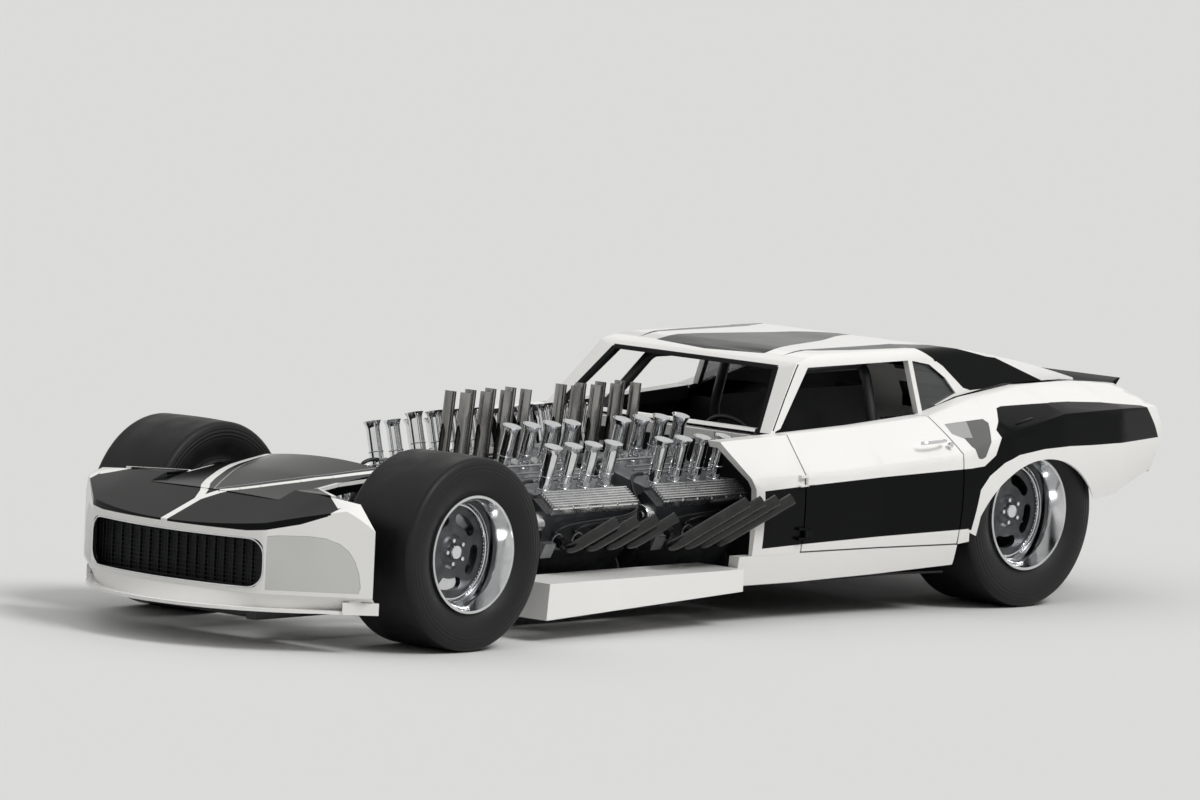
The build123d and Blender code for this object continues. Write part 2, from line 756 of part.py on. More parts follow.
def cabin_profile(inset):
    """Side view of the cabin top: flat screen line, roof and long fastback."""
    base = (screen_base[0] - inset * 1.25, 0, screen_base[1])
    top = (screen_top[0] - inset * 0.6, 0, screen_top[1] - inset)
    crown = (-1180, 0, roof_crest_z - inset)
    tail = (-2215, 0, 822 - inset)
    roof = ThreePointArc(top, (-820, 0, roof_crest_z - 4 - inset), crown)
    back = ThreePointArc(crown, (-1700, 0, 942 - inset), tail)
    under = Polyline(tail, (tail[0], 0, 640), (base[0], 0, 640), base)
    face = make_face([Line(base, top), roof, back, under])
    return extrude(face, amount=900, dir=(0, 1, 0), both=True)


def cabin_solid(inset):
    """Cabin top as a whole form, drawn in by the inset."""
    stations = ((-200.0, 606.0, 480.0), (-1180.0, 622.0, 500.0), (-2300.0, 600.0, 455.0))
    form = loft([cabin_section(x, base, rail, inset) for x, base, rail in stations], ruled=True)
    return form & cabin_profile(inset)


def side_window(points):
    """Window opening through both sides of the cabin top."""
    return prism_y(points, -900, 900)


door_window = ((-341, 640), (-341, 712), (-374, 722), (-596, 940), (-1166, 946), (-1166, 640))
quarter_window = ((-1190, 748), (-1190, 944), (-1290, 926), (-1372, 870), (-1416, 812))
screen_opening = ((-508, 716), (508, 716), (408, 928), (-408, 928))
rear_window_area = ((-1490, -390), (-1490, 390), (-2030, 370), (-2030, -370))


def make_roof():
    """Roof, screen pillars, window bars and sail panels in one shell."""
    shell = cabin_solid(0) - cabin_solid(roof_skin)
    shell -= side_window(door_window)
    shell -= side_window(quarter_window)
    shell -= prism_x(screen_opening, -800, -100)
    shell -= prism_z(rear_window_area, 760, 1100)
    shell -= lower_body(-seat)
    return shell & box(0, deck_start_x + seat, -1000, 1000, 660, 1100)


def make_rear_window():
    """Sloping rear glass, let into the fastback."""
    glass = cabin_solid(6) - cabin_solid(6 + glass_thick)
    middle_x = -1760
    fit = 0.999
    area = [(middle_x + (x - middle_x) * fit, y * fit) for x, y in rear_window_area]
    return glass & prism_z(area, 760, 1100)


def make_quarter_windows():
    """Small fixed panes behind the doors."""
    pane = cabin_solid(8) - cabin_solid(8 + glass_thick)
    x0, z0 = -1290, 850
    fit = 0.997
    area = [(x0 + (x - x0) * fit, z0 + (z - z0) * fit) for x, z in quarter_window]
    return pane & prism_y(area, -900, 900)


# Nose


def nose_solid(inset):
    """Wedge nose as a whole form, drawn in by the inset."""
    rear = fender_rear_x - (0 if inset == 0 else 2)
    half = fender_half_y - inset
    peak_y = fender_peak[0]
    side_x = grille_x - inset * 1.2
    front_y = grille_half_y - inset * 0.5
    bow = ThreePointArc((side_x, front_y, 0), (nose_front_x - inset, 0, 0), (side_x, -front_y, 0))
    cheeks = Polyline((side_x, -front_y, 0), (rear, -half, 0), (rear, half, 0), (side_x, front_y, 0))
    plan = extrude(make_face([bow, cheeks]), amount=900, dir=(0, 0, 1))
    low = fender_low_z - (60 if inset else 0)
    peak = (peak_y - inset * 0.4, fender_peak[1] - inset)
    flank = 463 - inset * 0.5
    rear_face = [
        (-half, low), (half, low), (half, flank), peak, (456, 572 - inset), (0, 580 - inset),
        (-456, 572 - inset), (-peak[0], peak[1]), (-half, flank),
    ]
    rear_section = make_face(Polyline(*[(rear - 1, y, z) for y, z in rear_face], close=True))
    edge = nose_edge_z - inset
    front_face = [
        (-half, low), (half, low), (half, edge), (peak_y, edge), (456, edge), (0, edge + 2),
        (-456, edge), (-peak_y, edge), (-half, edge),
    ]
    front_section = make_face(Polyline(*[(nose_front_x + 10, y, z) for y, z in front_face], close=True))
    return loft([rear_section, front_section], ruled=True) & plan


def grille_opening(grow):
    """Round-ended mouth seen from the front."""
    mid_z = (290 + 416) / 2
    width = 2 * (grille_half_y - 22 + grow)
    height = 126 + 2 * grow
    facing = Plane(origin=(1900, 0, mid_z), x_dir=(0, 1, 0), z_dir=(1, 0, 0))
    return extrude(facing * RectangleRounded(width, height, 40), amount=700)


def make_nose_shell():
    """Fenders, cheeks and grille surround, open behind and below."""
    shell = nose_solid(0) - nose_solid(nose_skin)
    shell -= grille_opening(0)
    shell -= box(fender_rear_x - 50, hood_front_x, -hood_half_y, hood_half_y, 300, 700)
    return shell


def make_grille():
    """Recessed mesh panel behind the mouth, with upright bars."""
    half = grille_half_y + 12
    back = 2236.0
    panel = box(back, back + 8, -600, 600, 262, 600) & nose_solid(nose_skin + seat)
    for index in range(19):
        y = -half + 24 + index * (2 * half - 48) / 18
        panel += box(back + 7, back + 18, y - 3, y + 3, 270, 420)
    return panel


def make_hood():
    """Long centre panel from the nose back over the front axle."""
    sections = []
    for x, half, crown, edge in (
        (hood_front_x - seat, hood_half_y - seat, 549, 543), (1800, hood_half_y - seat, 604, 588),
        (hood_rear_x, hood_rear_half, hood_rear_z, 618),
    ):
        arc = ThreePointArc((x, half, edge), (x, 0, crown), (x, -half, edge))
        inner = ThreePointArc((x, -half + 10, edge - 14), (x, 0, crown - 14), (x, half - 10, edge - 14))
        drop = edge - 46
        left = Polyline(
            (x, -half, edge), (x, -half, drop), (x, -half + 10, drop), (x, -half + 10, edge - 14)
        )
        right = Polyline((x, half - 10, edge - 14), (x, half - 10, drop), (x, half, drop), (x, half, edge))
        sections.append(make_face([arc, left, inner, right]))
    return loft(sections, ruled=True)


def make_chin_spoiler():
    """Flat lip under the nose, bowed in plan, with turned-up ends."""
    rear = 1996.0
    half = fender_half_y
    bow = [
        Line((rear, half, 0), (2165, 590, 0)),
        ThreePointArc((2165, 590, 0), (chin_front_x, 0, 0), (2165, -590, 0)),
        Line((2165, -590, 0), (rear, -half, 0)), Line((rear, -half, 0), (rear, half, 0)),
    ]
    plate = Pos(0, 0, rail_top_z + seat) * extrude(make_face(bow), amount=chin_thick, dir=(0, 0, 1))
    for side in (-1, 1):
        tip = [(rear, side * half), (2100, side * 660), (2088, side * 648), (rear, side * (half - 16))]
        plate += prism_z(tip, rail_top_z + seat, rail_top_z + 46)
    post_z = rail_top_z + seat + chin_thick
    for side in (-1, 1):
        plate += box(2060, 2076, side * 655, side * 700, post_z - 2, fender_low_z - seat)
    return plate


# Cabin fittings


def make_roll_cage():
    """Main hoop with forward halo bars, standing on the floor."""
    foot = floor_z + floor_thick + seat
    tube_r = cage_tube_r
    hoop_x = -1105.0
    hoop = pipe([
        (hoop_x, -410, foot), (hoop_x, -410, 690), (hoop_x, -350, 918), (hoop_x, 350, 918),
        (hoop_x, 410, 690), (hoop_x, 410, foot),
    ], tube_r, 70)
    cage = hoop
    for side in (-1, 1):
        cage += pipe([
            (hoop_x + 6, side * 330, 916), (-660, side * 352, 914),
            (cage_leg[0], side * cage_leg[1], 640), (cage_leg[0], side * cage_leg[1], foot),
        ], tube_r, 60)
        cage += bar((hoop_x, side * 408, 430), (cage_leg[0], side * cage_leg[1], 330), tube_r)
    return cage


def make_seat():
    """Bucket seat of one person, beside the shaft tunnel."""
    y = driver_y - 20
    low = floor_z + floor_thick + seat
    side = [(-760, low), (-760, low + 150), (-980, low + 110), (-1060, 620), (-1085, 620), (-1020, low)]
    cushion = prism_y(side, y - 150, y + 190)
    wings = [(-760, low), (-760, low + 190), (-960, low + 210), (-1040, 560), (-1085, 620), (-1020, low)]
    for y0, y1 in ((y - 172, y - 150), (y + 190, y + 212)):
        cushion += prism_y(wings, y0, y1)
    return cushion


def make_steering_wheel():
    """Rim, three spokes and column stub about a raked axis."""
    ring = Torus(165, 11)
    wheel = ring + Cylinder(32, 24)
    for turn in (90, 210, 330):
        wheel += Rot(Z=turn) * Pos(85, 0, 0) * Box(165, 26, 6)
    return steering_place() * wheel


def steering_place():
    """Where the steering wheel sits, its axis along local Z."""
    return Pos(-640, driver_y, 560) * Rot(Y=-68)


def make_dash():
    """Dash bar across the cowl with the steering column."""
    bar_low = 600.0
    half = cage_leg[1] - cage_tube_r - seat
    dash = prism_y([(-350, bar_low), (-350, 660), (-430, 660), (-440, bar_low)], -half, half)
    rod = Cylinder(14, 236, align=(Align.CENTER, Align.CENTER, Align.MAX))
    column = steering_place() * Pos(0, 0, -12 - seat) * rod
    hanger = box(-440, -420, driver_y - 10, driver_y + 10, 470, bar_low + 10)
    return dash + column + hanger


def write(name, shape):
    """One STEP file for one sub-part."""
    export_step(shape, f"parts/{name}.step")


def main():
    """Build every sub-part and write it."""
    os.makedirs("parts", exist_ok=True)
    rim = make_rim()
    tyre = make_tyre()
    for end, x in (("front", axle_x), ("rear", -axle_x)):
        for name, side in (("left", 1), ("right", -1)):
            write(f"wheel_{end}_{name}", place_wheel(rim, x, side))
            write(f"tyre_{end}_{name}", place_wheel(tyre, x, side))
    engine = make_engine()
    injection = make_injection()
    for end, front in (("front", True), ("rear", False)):
        for name, side in (("left", 1), ("right", -1)):
            write(f"engine_{end}_{name}", engine_place(engine, front, side))
            write(f"injection_{end}_{name}", engine_place(injection, front, side))
    pairs = {
        "knuckle": make_knuckle, "outer_headers": make_outer_headers, "door": make_door,
        "quarter": make_quarter, "side_pod": make_side_pod,
    }
    for name, maker in pairs.items():
        left = maker()
        write(f"{name}_left", left)
        write(f"{name}_right", mirrored(left))
    singles = {
        "frame_rails": make_frame_rails, "front_axle": make_front_axle, "rear_axle": make_rear_axle,
        "track_rod": make_track_rod, "inner_exhausts": make_inner_exhausts,
        "tail_panel": make_tail_panel, "deck_lid": make_deck_lid, "cowl": make_cowl,
        "firewall": make_firewall, "floor_pan": make_floor_pan, "roof": make_roof,
        "rear_window": make_rear_window, "quarter_windows": make_quarter_windows,
        "nose_shell": make_nose_shell, "grille": make_grille, "hood": make_hood,
        "chin_spoiler": make_chin_spoiler, "roll_cage": make_roll_cage, "driver_seat": make_seat,
        "steering_wheel": make_steering_wheel, "dash": make_dash,
    }
    for name, maker in singles.items():
        write(name, maker())
    write("drive_front", make_drive(1))
    write("drive_rear", make_drive(-1))


main()
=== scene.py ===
import bpy
import bmesh
import json
from math import radians, sin, cos, pi
from mathutils import Matrix, Vector

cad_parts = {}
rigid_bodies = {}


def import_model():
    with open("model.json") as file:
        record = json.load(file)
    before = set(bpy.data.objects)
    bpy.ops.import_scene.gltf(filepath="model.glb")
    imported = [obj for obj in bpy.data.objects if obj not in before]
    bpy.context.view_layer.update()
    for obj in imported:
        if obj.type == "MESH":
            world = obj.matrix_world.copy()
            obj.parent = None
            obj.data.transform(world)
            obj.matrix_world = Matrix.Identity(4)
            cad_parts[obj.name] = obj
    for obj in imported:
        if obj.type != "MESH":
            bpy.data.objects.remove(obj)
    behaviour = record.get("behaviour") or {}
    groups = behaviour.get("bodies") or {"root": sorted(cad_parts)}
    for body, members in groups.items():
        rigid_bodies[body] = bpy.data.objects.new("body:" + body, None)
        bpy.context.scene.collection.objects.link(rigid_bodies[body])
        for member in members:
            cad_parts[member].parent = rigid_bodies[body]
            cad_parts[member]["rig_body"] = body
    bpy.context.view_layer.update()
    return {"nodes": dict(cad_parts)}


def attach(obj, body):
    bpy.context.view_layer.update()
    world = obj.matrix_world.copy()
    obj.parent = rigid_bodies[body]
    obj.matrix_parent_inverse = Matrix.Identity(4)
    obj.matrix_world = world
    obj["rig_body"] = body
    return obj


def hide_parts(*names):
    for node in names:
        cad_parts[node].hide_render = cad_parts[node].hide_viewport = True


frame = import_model()
nodes = frame["nodes"]
sides = {"left": 1, "right": -1}
axleSet = {"x": 1.5765, "z": 0.364, "flange": 0.821}  # half the wheelbase, hub height, outer face of a rim
print("frame loaded:", len(nodes), "nodes")


def hexLinear(code):
    values = []
    for start in (0, 2, 4):
        c = int(code[start:start + 2], 16) / 255
        values.append(c / 12.92 if c <= 0.04045 else ((c + 0.055) / 1.055) ** 2.4)
    return (*values, 1.0)


def addNode(tree, kind, settings=None, links=None):
    node = tree.nodes.new(kind)
    for key, value in (settings or {}).items():
        if isinstance(key, str) and hasattr(node, key):
            setattr(node, key, value)
        else:
            node.inputs[key].default_value = value
    for key, socket in (links or {}).items():
        tree.links.new(socket, node.inputs[key])
    return node


def mathNode(tree, operation, first, second=None):
    node = addNode(tree, "ShaderNodeMath", {"operation": operation})
    for index, value in enumerate((first, second)):
        if value is None:
            continue
        if isinstance(value, (int, float)):
            node.inputs[index].default_value = value
        else:
            tree.links.new(value, node.inputs[index])
    return node.outputs[0]


def blendColour(tree, factor, first, second):
    node = addNode(tree, "ShaderNodeMix", {"data_type": "RGBA"}, {0: factor})
    for index, value in ((6, first), (7, second)):
        if isinstance(value, tuple):
            node.inputs[index].default_value = value
        else:
            tree.links.new(value, node.inputs[index])
    return node.outputs[2]


def insideField(tree, place, axes, points):
    # distance in metres to the nearest edge of a convex outline, positive inside
    area = sum(points[i][0] * points[i - 1][1] - points[i - 1][0] * points[i][1] for i in range(len(points)))
    ordered = list(points) if area < 0 else list(reversed(points))
    field = None
    for i, (a, b) in enumerate(ordered):
        c, d = ordered[(i + 1) % len(ordered)]
        length = ((c - a) ** 2 + (d - b) ** 2) ** 0.5
        normal = [0.0, 0.0, 0.0]
        normal[axes[0]] = -(d - b) / length
        normal[axes[1]] = (c - a) / length
        offset = normal[axes[0]] * a + normal[axes[1]] * b
        dot = addNode(tree, "ShaderNodeVectorMath", {"operation": "DOT_PRODUCT", 1: normal}, {0: place})
        edge = mathNode(tree, "SUBTRACT", dot.outputs["Value"], offset)
        field = edge if field is None else mathNode(tree, "MINIMUM", field, edge)
    return field


maskEdge = 0.0012  # metres over which one paint turns into the other


def crisp(tree, field):
    return addNode(tree, "ShaderNodeMapRange", {1: 0.0, 2: maskEdge}, {0: field}).outputs[0]


def foldedPlace(tree, coords):
    # object position with y taken from the centre line outward, so both sides wear the same paint
    split = addNode(tree, "ShaderNodeSeparateXYZ", None, {0: coords})
    across = mathNode(tree, "ABSOLUTE", split.outputs[1])
    folded = addNode(
        tree, "ShaderNodeCombineXYZ", None, {0: split.outputs[0], 1: across, 2: split.outputs[2]},
    )
    return folded.outputs[0]


def startMaterial(name, look):
    material = bpy.data.materials.new(name)
    material.use_nodes = True
    tree = material.node_tree
    shader = tree.nodes["Principled BSDF"]
    shader.inputs["Metallic"].default_value = look.get("metallic", 0.0)
    shader.inputs["Coat Weight"].default_value = look.get("coat", 0.0)
    shader.inputs["Coat Roughness"].default_value = 0.08
    shader.inputs["Specular IOR Level"].default_value = look.get("specular", 0.5)
    coords = addNode(tree, "ShaderNodeTexCoord").outputs["Object"]
    stretch = look.get("stretch", (1, 1, 1))
    stretched = addNode(tree, "ShaderNodeMapping", {"Scale": stretch}, {0: coords}).outputs[0]
    return material, tree, shader, coords, stretched


def clouding(tree, stretched, look):
    # slow drift of the tone, from 0 to the look's spread
    cloud = addNode(
        tree, "ShaderNodeTexNoise", {"Scale": 1000 / look["cloudMm"], "Detail": 4.0}, {"Vector": stretched},
    )
    drift = addNode(
        tree, "ShaderNodeMapRange",
        {"interpolation_type": "SMOOTHSTEP", 1: 0.3, 2: 0.75, 3: 0.0, 4: look["spread"]},
        {0: cloud.outputs[0]},
    )
    return cloud.outputs[0], drift.outputs[0]


def dressSurface(tree, shader, stretched, look, colour=None, relief=None):
    # clouding of the colour, patchy gloss and a fine grain, each at its size in millimetres
    cloud, drift = clouding(tree, stretched, look)
    if colour is None:
        colour = blendColour(tree, drift, hexLinear(look["colour"]), hexLinear(look["aged"]))
    tree.links.new(colour, shader.inputs["Base Color"])
    low, high = look["rough"]
    gloss = addNode(tree, "ShaderNodeMapRange", {1: 0.3, 2: 0.7, 3: low, 4: high}, {0: cloud})
    tree.links.new(gloss.outputs[0], shader.inputs["Roughness"])
    grain = addNode(
        tree, "ShaderNodeTexNoise", {"Scale": 1000 / look["grainMm"], "Detail": 3.0}, {"Vector": stretched},
    )
    bump = addNode(
        tree, "ShaderNodeBump", {"Strength": look.get("relief", 0.35), "Distance": look["depthMm"] / 1000},
        {"Height": grain.outputs[0]},
    )
    if relief is not None:
        # second bump for a pressed form: its height field and its depth in metres
        height, depth = relief
        bump = addNode(
            tree, "ShaderNodeBump", {"Strength": 0.8, "Distance": depth},
            {"Height": height, "Normal": bump.outputs[0]},
        )
    tree.links.new(bump.outputs[0], shader.inputs["Normal"])


def plainFinish(name, look):
    material, tree, shader, coords, stretched = startMaterial(name, look)
    dressSurface(tree, shader, stretched, look)
    return material


looks = {
    # hand-rubbed acrylic lacquer: bright, slightly warm white with faint orange peel
    "white": {"colour": "EEEDEA", "aged": "DDDBD6", "spread": 0.16, "rough": (0.14, 0.22), "coat": 0.02,
              "cloudMm": 420, "grainMm": 3.0, "depthMm": 0.02, "specular": 0.08},
    # the same lacquer in black, a little swirled, so its tone drifts softly
    "black": {"colour": "08090A", "aged": "121314", "spread": 0.5, "rough": (0.14, 0.22), "coat": 0.02,
              "cloudMm": 220, "grainMm": 3.0, "depthMm": 0.02, "specular": 0.08},
    # natural rubber compound, moulded smooth: charcoal with chalky bloom
    "rubber": {"colour": "0D0D0E", "aged": "1D1D1E", "spread": 0.45, "rough": (0.42, 0.6), "specular": 0.3,
               "cloudMm": 90, "grainMm": 2.2, "depthMm": 0.25},
    # polished cast aluminium of rims and trim: mirror-like with fine buffing haze
    "polished": {"colour": "D9DADB", "aged": "A9ABAE", "spread": 0.35, "rough": (0.07, 0.17), "metallic": 1.0,
                 "cloudMm": 60, "grainMm": 1.2, "depthMm": 0.01},
    # sand-cast aluminium of manifolds, brackets and flange rings: grey and grainy
    "cast": {"colour": "9C9DA0", "aged": "6E6F73", "spread": 0.5, "rough": (0.32, 0.5), "metallic": 0.9,
             "cloudMm": 45, "grainMm": 1.6, "depthMm": 0.12},
    # iron block with dark engine enamel, oil-darkened low down
    "block": {"colour": "24262A", "aged": "0F1012", "spread": 0.7, "rough": (0.3, 0.55), "coat": 0.2,
              "cloudMm": 70, "grainMm": 2.5, "depthMm": 0.2},
    # spun and chromed intake stack: bright lips, dark reflections down the tube
    "chrome": {"colour": "E4E5E6", "aged": "BFC1C4", "spread": 0.25, "rough": (0.04, 0.1), "metallic": 1.0,
               "cloudMm": 50, "grainMm": 1.5, "depthMm": 0.006},
    # heat-proof black on open headers, burnt greyer at the ends
    "header": {"colour": "0D0D0E", "aged": "2B2928", "spread": 0.5, "rough": (0.2, 0.36), "metallic": 0.2,
               "coat": 0.2, "cloudMm": 55, "grainMm": 1.8, "depthMm": 0.08},
    # bare steel tube discoloured by exhaust heat
    "heatSteel": {"colour": "9A9997", "aged": "5B5957", "spread": 0.7, "rough": (0.18, 0.3), "metallic": 1.0,
                  "cloudMm": 45, "grainMm": 1.2, "depthMm": 0.02, "stretch": (1, 1, 0.25)},
    # brushed steel for rods, rails and brackets
    "brushed": {"colour": "B3B4B6", "aged": "8A8C8F", "spread": 0.5, "rough": (0.2, 0.34), "metallic": 1.0,
                "cloudMm": 30, "grainMm": 1.0, "depthMm": 0.02, "stretch": (0.12, 1, 1)},
    # satin chassis enamel with road dust
    "chassis": {"colour": "1D1F22", "aged": "3B3A38", "spread": 0.5, "rough": (0.35, 0.6), "coat": 0.1,
                "cloudMm": 120, "grainMm": 2.2, "depthMm": 0.05},
    # sand-cast axle iron
    "iron": {"colour": "2B2C2E", "aged": "46413D", "spread": 0.6, "rough": (0.45, 0.7), "metallic": 0.5,
             "cloudMm": 60, "grainMm": 2.4, "depthMm": 0.3},
    # flat black cabin sheet
    "cabin": {"colour": "121315", "aged": "232426", "spread": 0.5, "rough": (0.5, 0.75),
              "cloudMm": 150, "grainMm": 2.0, "depthMm": 0.04},
    # grained upholstery vinyl with a soft sheen
    "vinyl": {"colour": "1A1A1C", "aged": "2E2D2F", "spread": 0.5, "rough": (0.38, 0.55),
              "cloudMm": 40, "grainMm": 1.6, "depthMm": 0.35, "relief": 0.6},
    # black moulded rubber for hoses, leads and sleeves
    "hose": {"colour": "101113", "aged": "29292B", "spread": 0.5, "rough": (0.4, 0.6),
             "cloudMm": 25, "grainMm": 1.2, "depthMm": 0.1},
    # stiff woven harness webbing
    "webbing": {"colour": "C9C6BC", "aged": "A19E95", "spread": 0.5, "rough": (0.7, 0.9),
                "cloudMm": 60, "grainMm": 1.5, "depthMm": 0.4, "relief": 0.7},
    # moulded acrylic lamp lens, deep and glossy
    "lens": {"colour": "6A1512", "aged": "4A0E0C", "spread": 0.4, "rough": (0.08, 0.16), "coat": 0.6,
             "cloudMm": 40, "grainMm": 2.0, "depthMm": 0.1},
    # buffed cast aluminium of the finned covers: bright ribs with a soft haze
    "cover": {"colour": "E8E8E8", "aged": "BDBEC0", "spread": 0.4, "rough": (0.22, 0.34), "metallic": 1.0,
              "cloudMm": 40, "grainMm": 1.2, "depthMm": 0.02},
    # magnesium wheel centre, dull and dark between its slots
    "magnesium": {"colour": "5C5D60", "aged": "3A3B3D", "spread": 0.6, "rough": (0.3, 0.45), "metallic": 0.95,
                  "cloudMm": 50, "grainMm": 1.6, "depthMm": 0.1},
    # pressed wire mesh of the mouth, enamelled dark
    "mesh": {"colour": "15171A", "aged": "2C2E31", "spread": 0.5, "rough": (0.35, 0.55), "metallic": 0.3,
             "cloudMm": 50, "grainMm": 1.5, "depthMm": 0.05},
}

finish = {name: plainFinish(name + "Finish", look) for name, look in looks.items()}


sideView = (0, 2)
topView = (0, 1)
frontView = (1, 2)
alongside = (topView, [(2.6, 0.43), (2.6, 1.0), (-2.6, 1.0), (-2.6, 0.43)])  # the car's flanks
# flat tones: the pinstripe's grey, and painted shade for the intake recess on each quarter and the recess
# beside the mouth; aged is the darker end of their random drift
toneSet = {
    "aged": "8A8A88", "scoop": "A6A6A4", "scoopShade": "6A6A69", "shadedCheek": "CDCDCA", "pinstripe": "8A8C8F",
    "sunkDepth": 0.006,
}


def paintMaterial(name, blackAreas, whiteAreas=(), tones=(), sunken=()):
    # two-colour lacquer, masked as the painter taped it, with flat tones laid over it, some of them painted
    # shade: an area is outlines that must all hold a point
    white, black = looks["white"], looks["black"]
    material, tree, shader, coords, stretched = startMaterial(name, white)
    place = foldedPlace(tree, coords)

    def union(areas):
        total = None
        for area in areas:
            field = None
            for axes, outline in area:
                one = insideField(tree, place, axes, outline)
                field = one if field is None else mathNode(tree, "MINIMUM", field, one)
            mask = crisp(tree, field)
            total = mask if total is None else mathNode(tree, "MAXIMUM", total, mask)
        return total

    drift = clouding(tree, stretched, white)[1]
    colour = blendColour(tree, drift, hexLinear(white["colour"]), hexLinear(white["aged"]))
    night = blendColour(tree, drift, hexLinear(black["colour"]), hexLinear(black["aged"]))
    dark = union(blackAreas)
    if whiteAreas:
        dark = mathNode(tree, "MULTIPLY", dark, mathNode(tree, "SUBTRACT", 1.0, union(whiteAreas)))
    colour = blendColour(tree, dark, colour, night)
    # flat tones over their areas: the pinstripe, and painted shade in the intake recess and the recess beside
    # the mouth
    for tone, areas in tones:
        toned = blendColour(tree, drift, hexLinear(tone), hexLinear(toneSet["aged"]))
        colour = blendColour(tree, union(areas), colour, toned)
    relief = (mathNode(tree, "SUBTRACT", 1.0, union(sunken)), toneSet["sunkDepth"]) if sunken else None
    dressSurface(tree, shader, stretched, white, colour, relief)
    return material


def areasOf(view, outlines):
    # each outline is an area of its own, drawn in one view
    return [[(view, outline)] for outline in outlines]


def ribbon(start, end, width):
    # long thin outline between two points of one view
    (a, b), (c, d) = start, end
    length = ((c - a) ** 2 + (d - b) ** 2) ** 0.5
    px, py = -(d - b) / length * width / 2, (c - a) / length * width / 2
    return [(a + px, b + py), (c + px, d + py), (c - px, d - py), (a - px, b - py)]


def ribbons(points, width, view=topView, limit=None):
    areas = areasOf(view, [ribbon(points[i], points[i + 1], width) for i in range(len(points) - 1)])
    return [area + [limit] for area in areas] if limit else areas


lineSet = {
    "stripe": [(2.45, 0.0), (2.20, 0.0), (2.13, 0.038), (2.074, 0.087), (2.008, 0.128), (1.87, 0.200),
               (1.75, 0.247), (1.541, 0.297), (1.28, 0.345)],
    "pinstripe": [(2.12, 0.0), (2.022, 0.060), (1.86, 0.150), (1.74, 0.205), (1.50, 0.262)],
    "notch": [(2.087, 0.623), (1.898, 0.333)],
    "stripeWidth": 0.034, "notchWidth": 0.030, "pinWidth": 0.007,
}
sideSet = {
    "doorBand": [(-0.119, 0.512), (-1.21, 0.562), (-1.21, 0.325), (-0.125, 0.290)],
    "hipFoot": [(-1.20, 0.562), (-1.262, 0.568), (-1.262, 0.32), (-1.20, 0.32)],
    "hipStep": [(-1.257, 0.568), (-1.318, 0.610), (-1.318, 0.32), (-1.257, 0.32)],
    "hipFront": [(-1.314, 0.50), (-1.314, 0.608), (-1.356, 0.699), (-1.462, 0.770), (-1.49, 0.776),
                 (-1.722, 0.787), (-1.83, 0.786), (-1.83, 0.50)],
    "hipRear": [(-1.82, 0.622), (-1.82, 0.786), (-1.997, 0.778), (-2.251, 0.754), (-2.283, 0.746),
                (-2.343, 0.672), (-2.376, 0.622)],
    "archBand": [(-1.20, 0.10), (-1.217, 0.332), (-1.241, 0.476), (-1.285, 0.528), (-1.361, 0.576),
                 (-1.441, 0.604), (-1.584, 0.621), (-1.731, 0.626), (-1.93, 0.622), (-2.02, 0.40),
                 (-2.02, 0.10)],
    # outlines of the intake recess on the quarter: painted shade in grey over scoopTop and scoopFoot, darker
    # painted shade over scoopShade and the foot
    "scoopTop": [(-1.179, 0.684), (-1.186, 0.717), (-1.355, 0.735), (-1.359, 0.722), (-1.29, 0.655),
                 (-1.21, 0.667)],
    "scoopFoot": [(-1.21, 0.672), (-1.30, 0.672), (-1.263, 0.602), (-1.245, 0.594), (-1.227, 0.596),
                  (-1.207, 0.641)],
    "scoopShade": [(-1.300, 0.75), (-1.38, 0.75), (-1.36, 0.64), (-1.22, 0.64), (-1.255, 0.69)],
}
# the intake recess is sunk by a bump and painted in shade: grey over its whole face, darker grey over its rear
# part and its foot
scoop = areasOf(sideView, [sideSet["scoopTop"], sideSet["scoopFoot"]])
scoopShade = [[(sideView, sideSet["scoopShade"]), (sideView, sideSet["scoopTop"])], scoop[1]]
sidePaint = paintMaterial(
    "sideLacquer",
    areasOf(sideView, [sideSet[key] for key in ("doorBand", "hipFoot", "hipStep", "hipFront", "hipRear")]),
    areasOf(sideView, [sideSet["archBand"]]),
    [(toneSet["scoop"], scoop), (toneSet["scoopShade"], scoopShade)],
    scoop,
)

noseSet = {
    "top": [(2.5, -0.1), (2.5, 0.455), (1.85, 0.455), (1.85, -0.1)],
    "fender": [(2.31, 0.44), (2.217, 0.545), (2.145, 0.622), (2.087, 0.623), (1.898, 0.333), (1.898, 0.30)],
    "front": [(2.0, 0.10), (2.5, 0.10), (2.5, 0.444), (2.0, 0.444)],
    "tipFront": [(2.213, 0.43), (2.213, 0.479), (2.325, 0.444), (2.325, 0.43)],
    "tipMiddle": [(2.141, 0.43), (2.141, 0.517), (2.222, 0.475), (2.222, 0.43)],
    "tipRear": [(2.0, 0.43), (2.0, 0.555), (2.150, 0.515), (2.150, 0.43)],
    "tipOut": [(2.2, 0.60), (2.2, 0.80), (2.0, 0.80), (2.0, 0.60)],
    # outline, seen from the front, of the sunk panel beside the mouth, where painted shade goes
    "shadedCheek": [(0.449, 0.428), (0.480, 0.434), (0.560, 0.436), (0.610, 0.431), (0.650, 0.412), (0.676, 0.386),
              (0.694, 0.350), (0.706, 0.305), (0.712, 0.255), (0.706, 0.230), (0.449, 0.230)],
}
# the sunk panel beside the mouth is toned light grey as painted shade, and also sunk by a bump
shadedCheek = areasOf(frontView, [noseSet["shadedCheek"]])
nosePaint = paintMaterial(
    "noseLacquer",
    areasOf(topView, [noseSet["top"], noseSet["fender"]]),
    areasOf(sideView, [noseSet["front"], noseSet["tipFront"], noseSet["tipMiddle"]])
    + [[(sideView, noseSet["tipRear"]), (topView, noseSet["tipOut"])]]
    + ribbons(lineSet["stripe"], lineSet["stripeWidth"]) + ribbons(lineSet["notch"], lineSet["notchWidth"]),
    [(toneSet["shadedCheek"], shadedCheek)],
    shadedCheek,
)
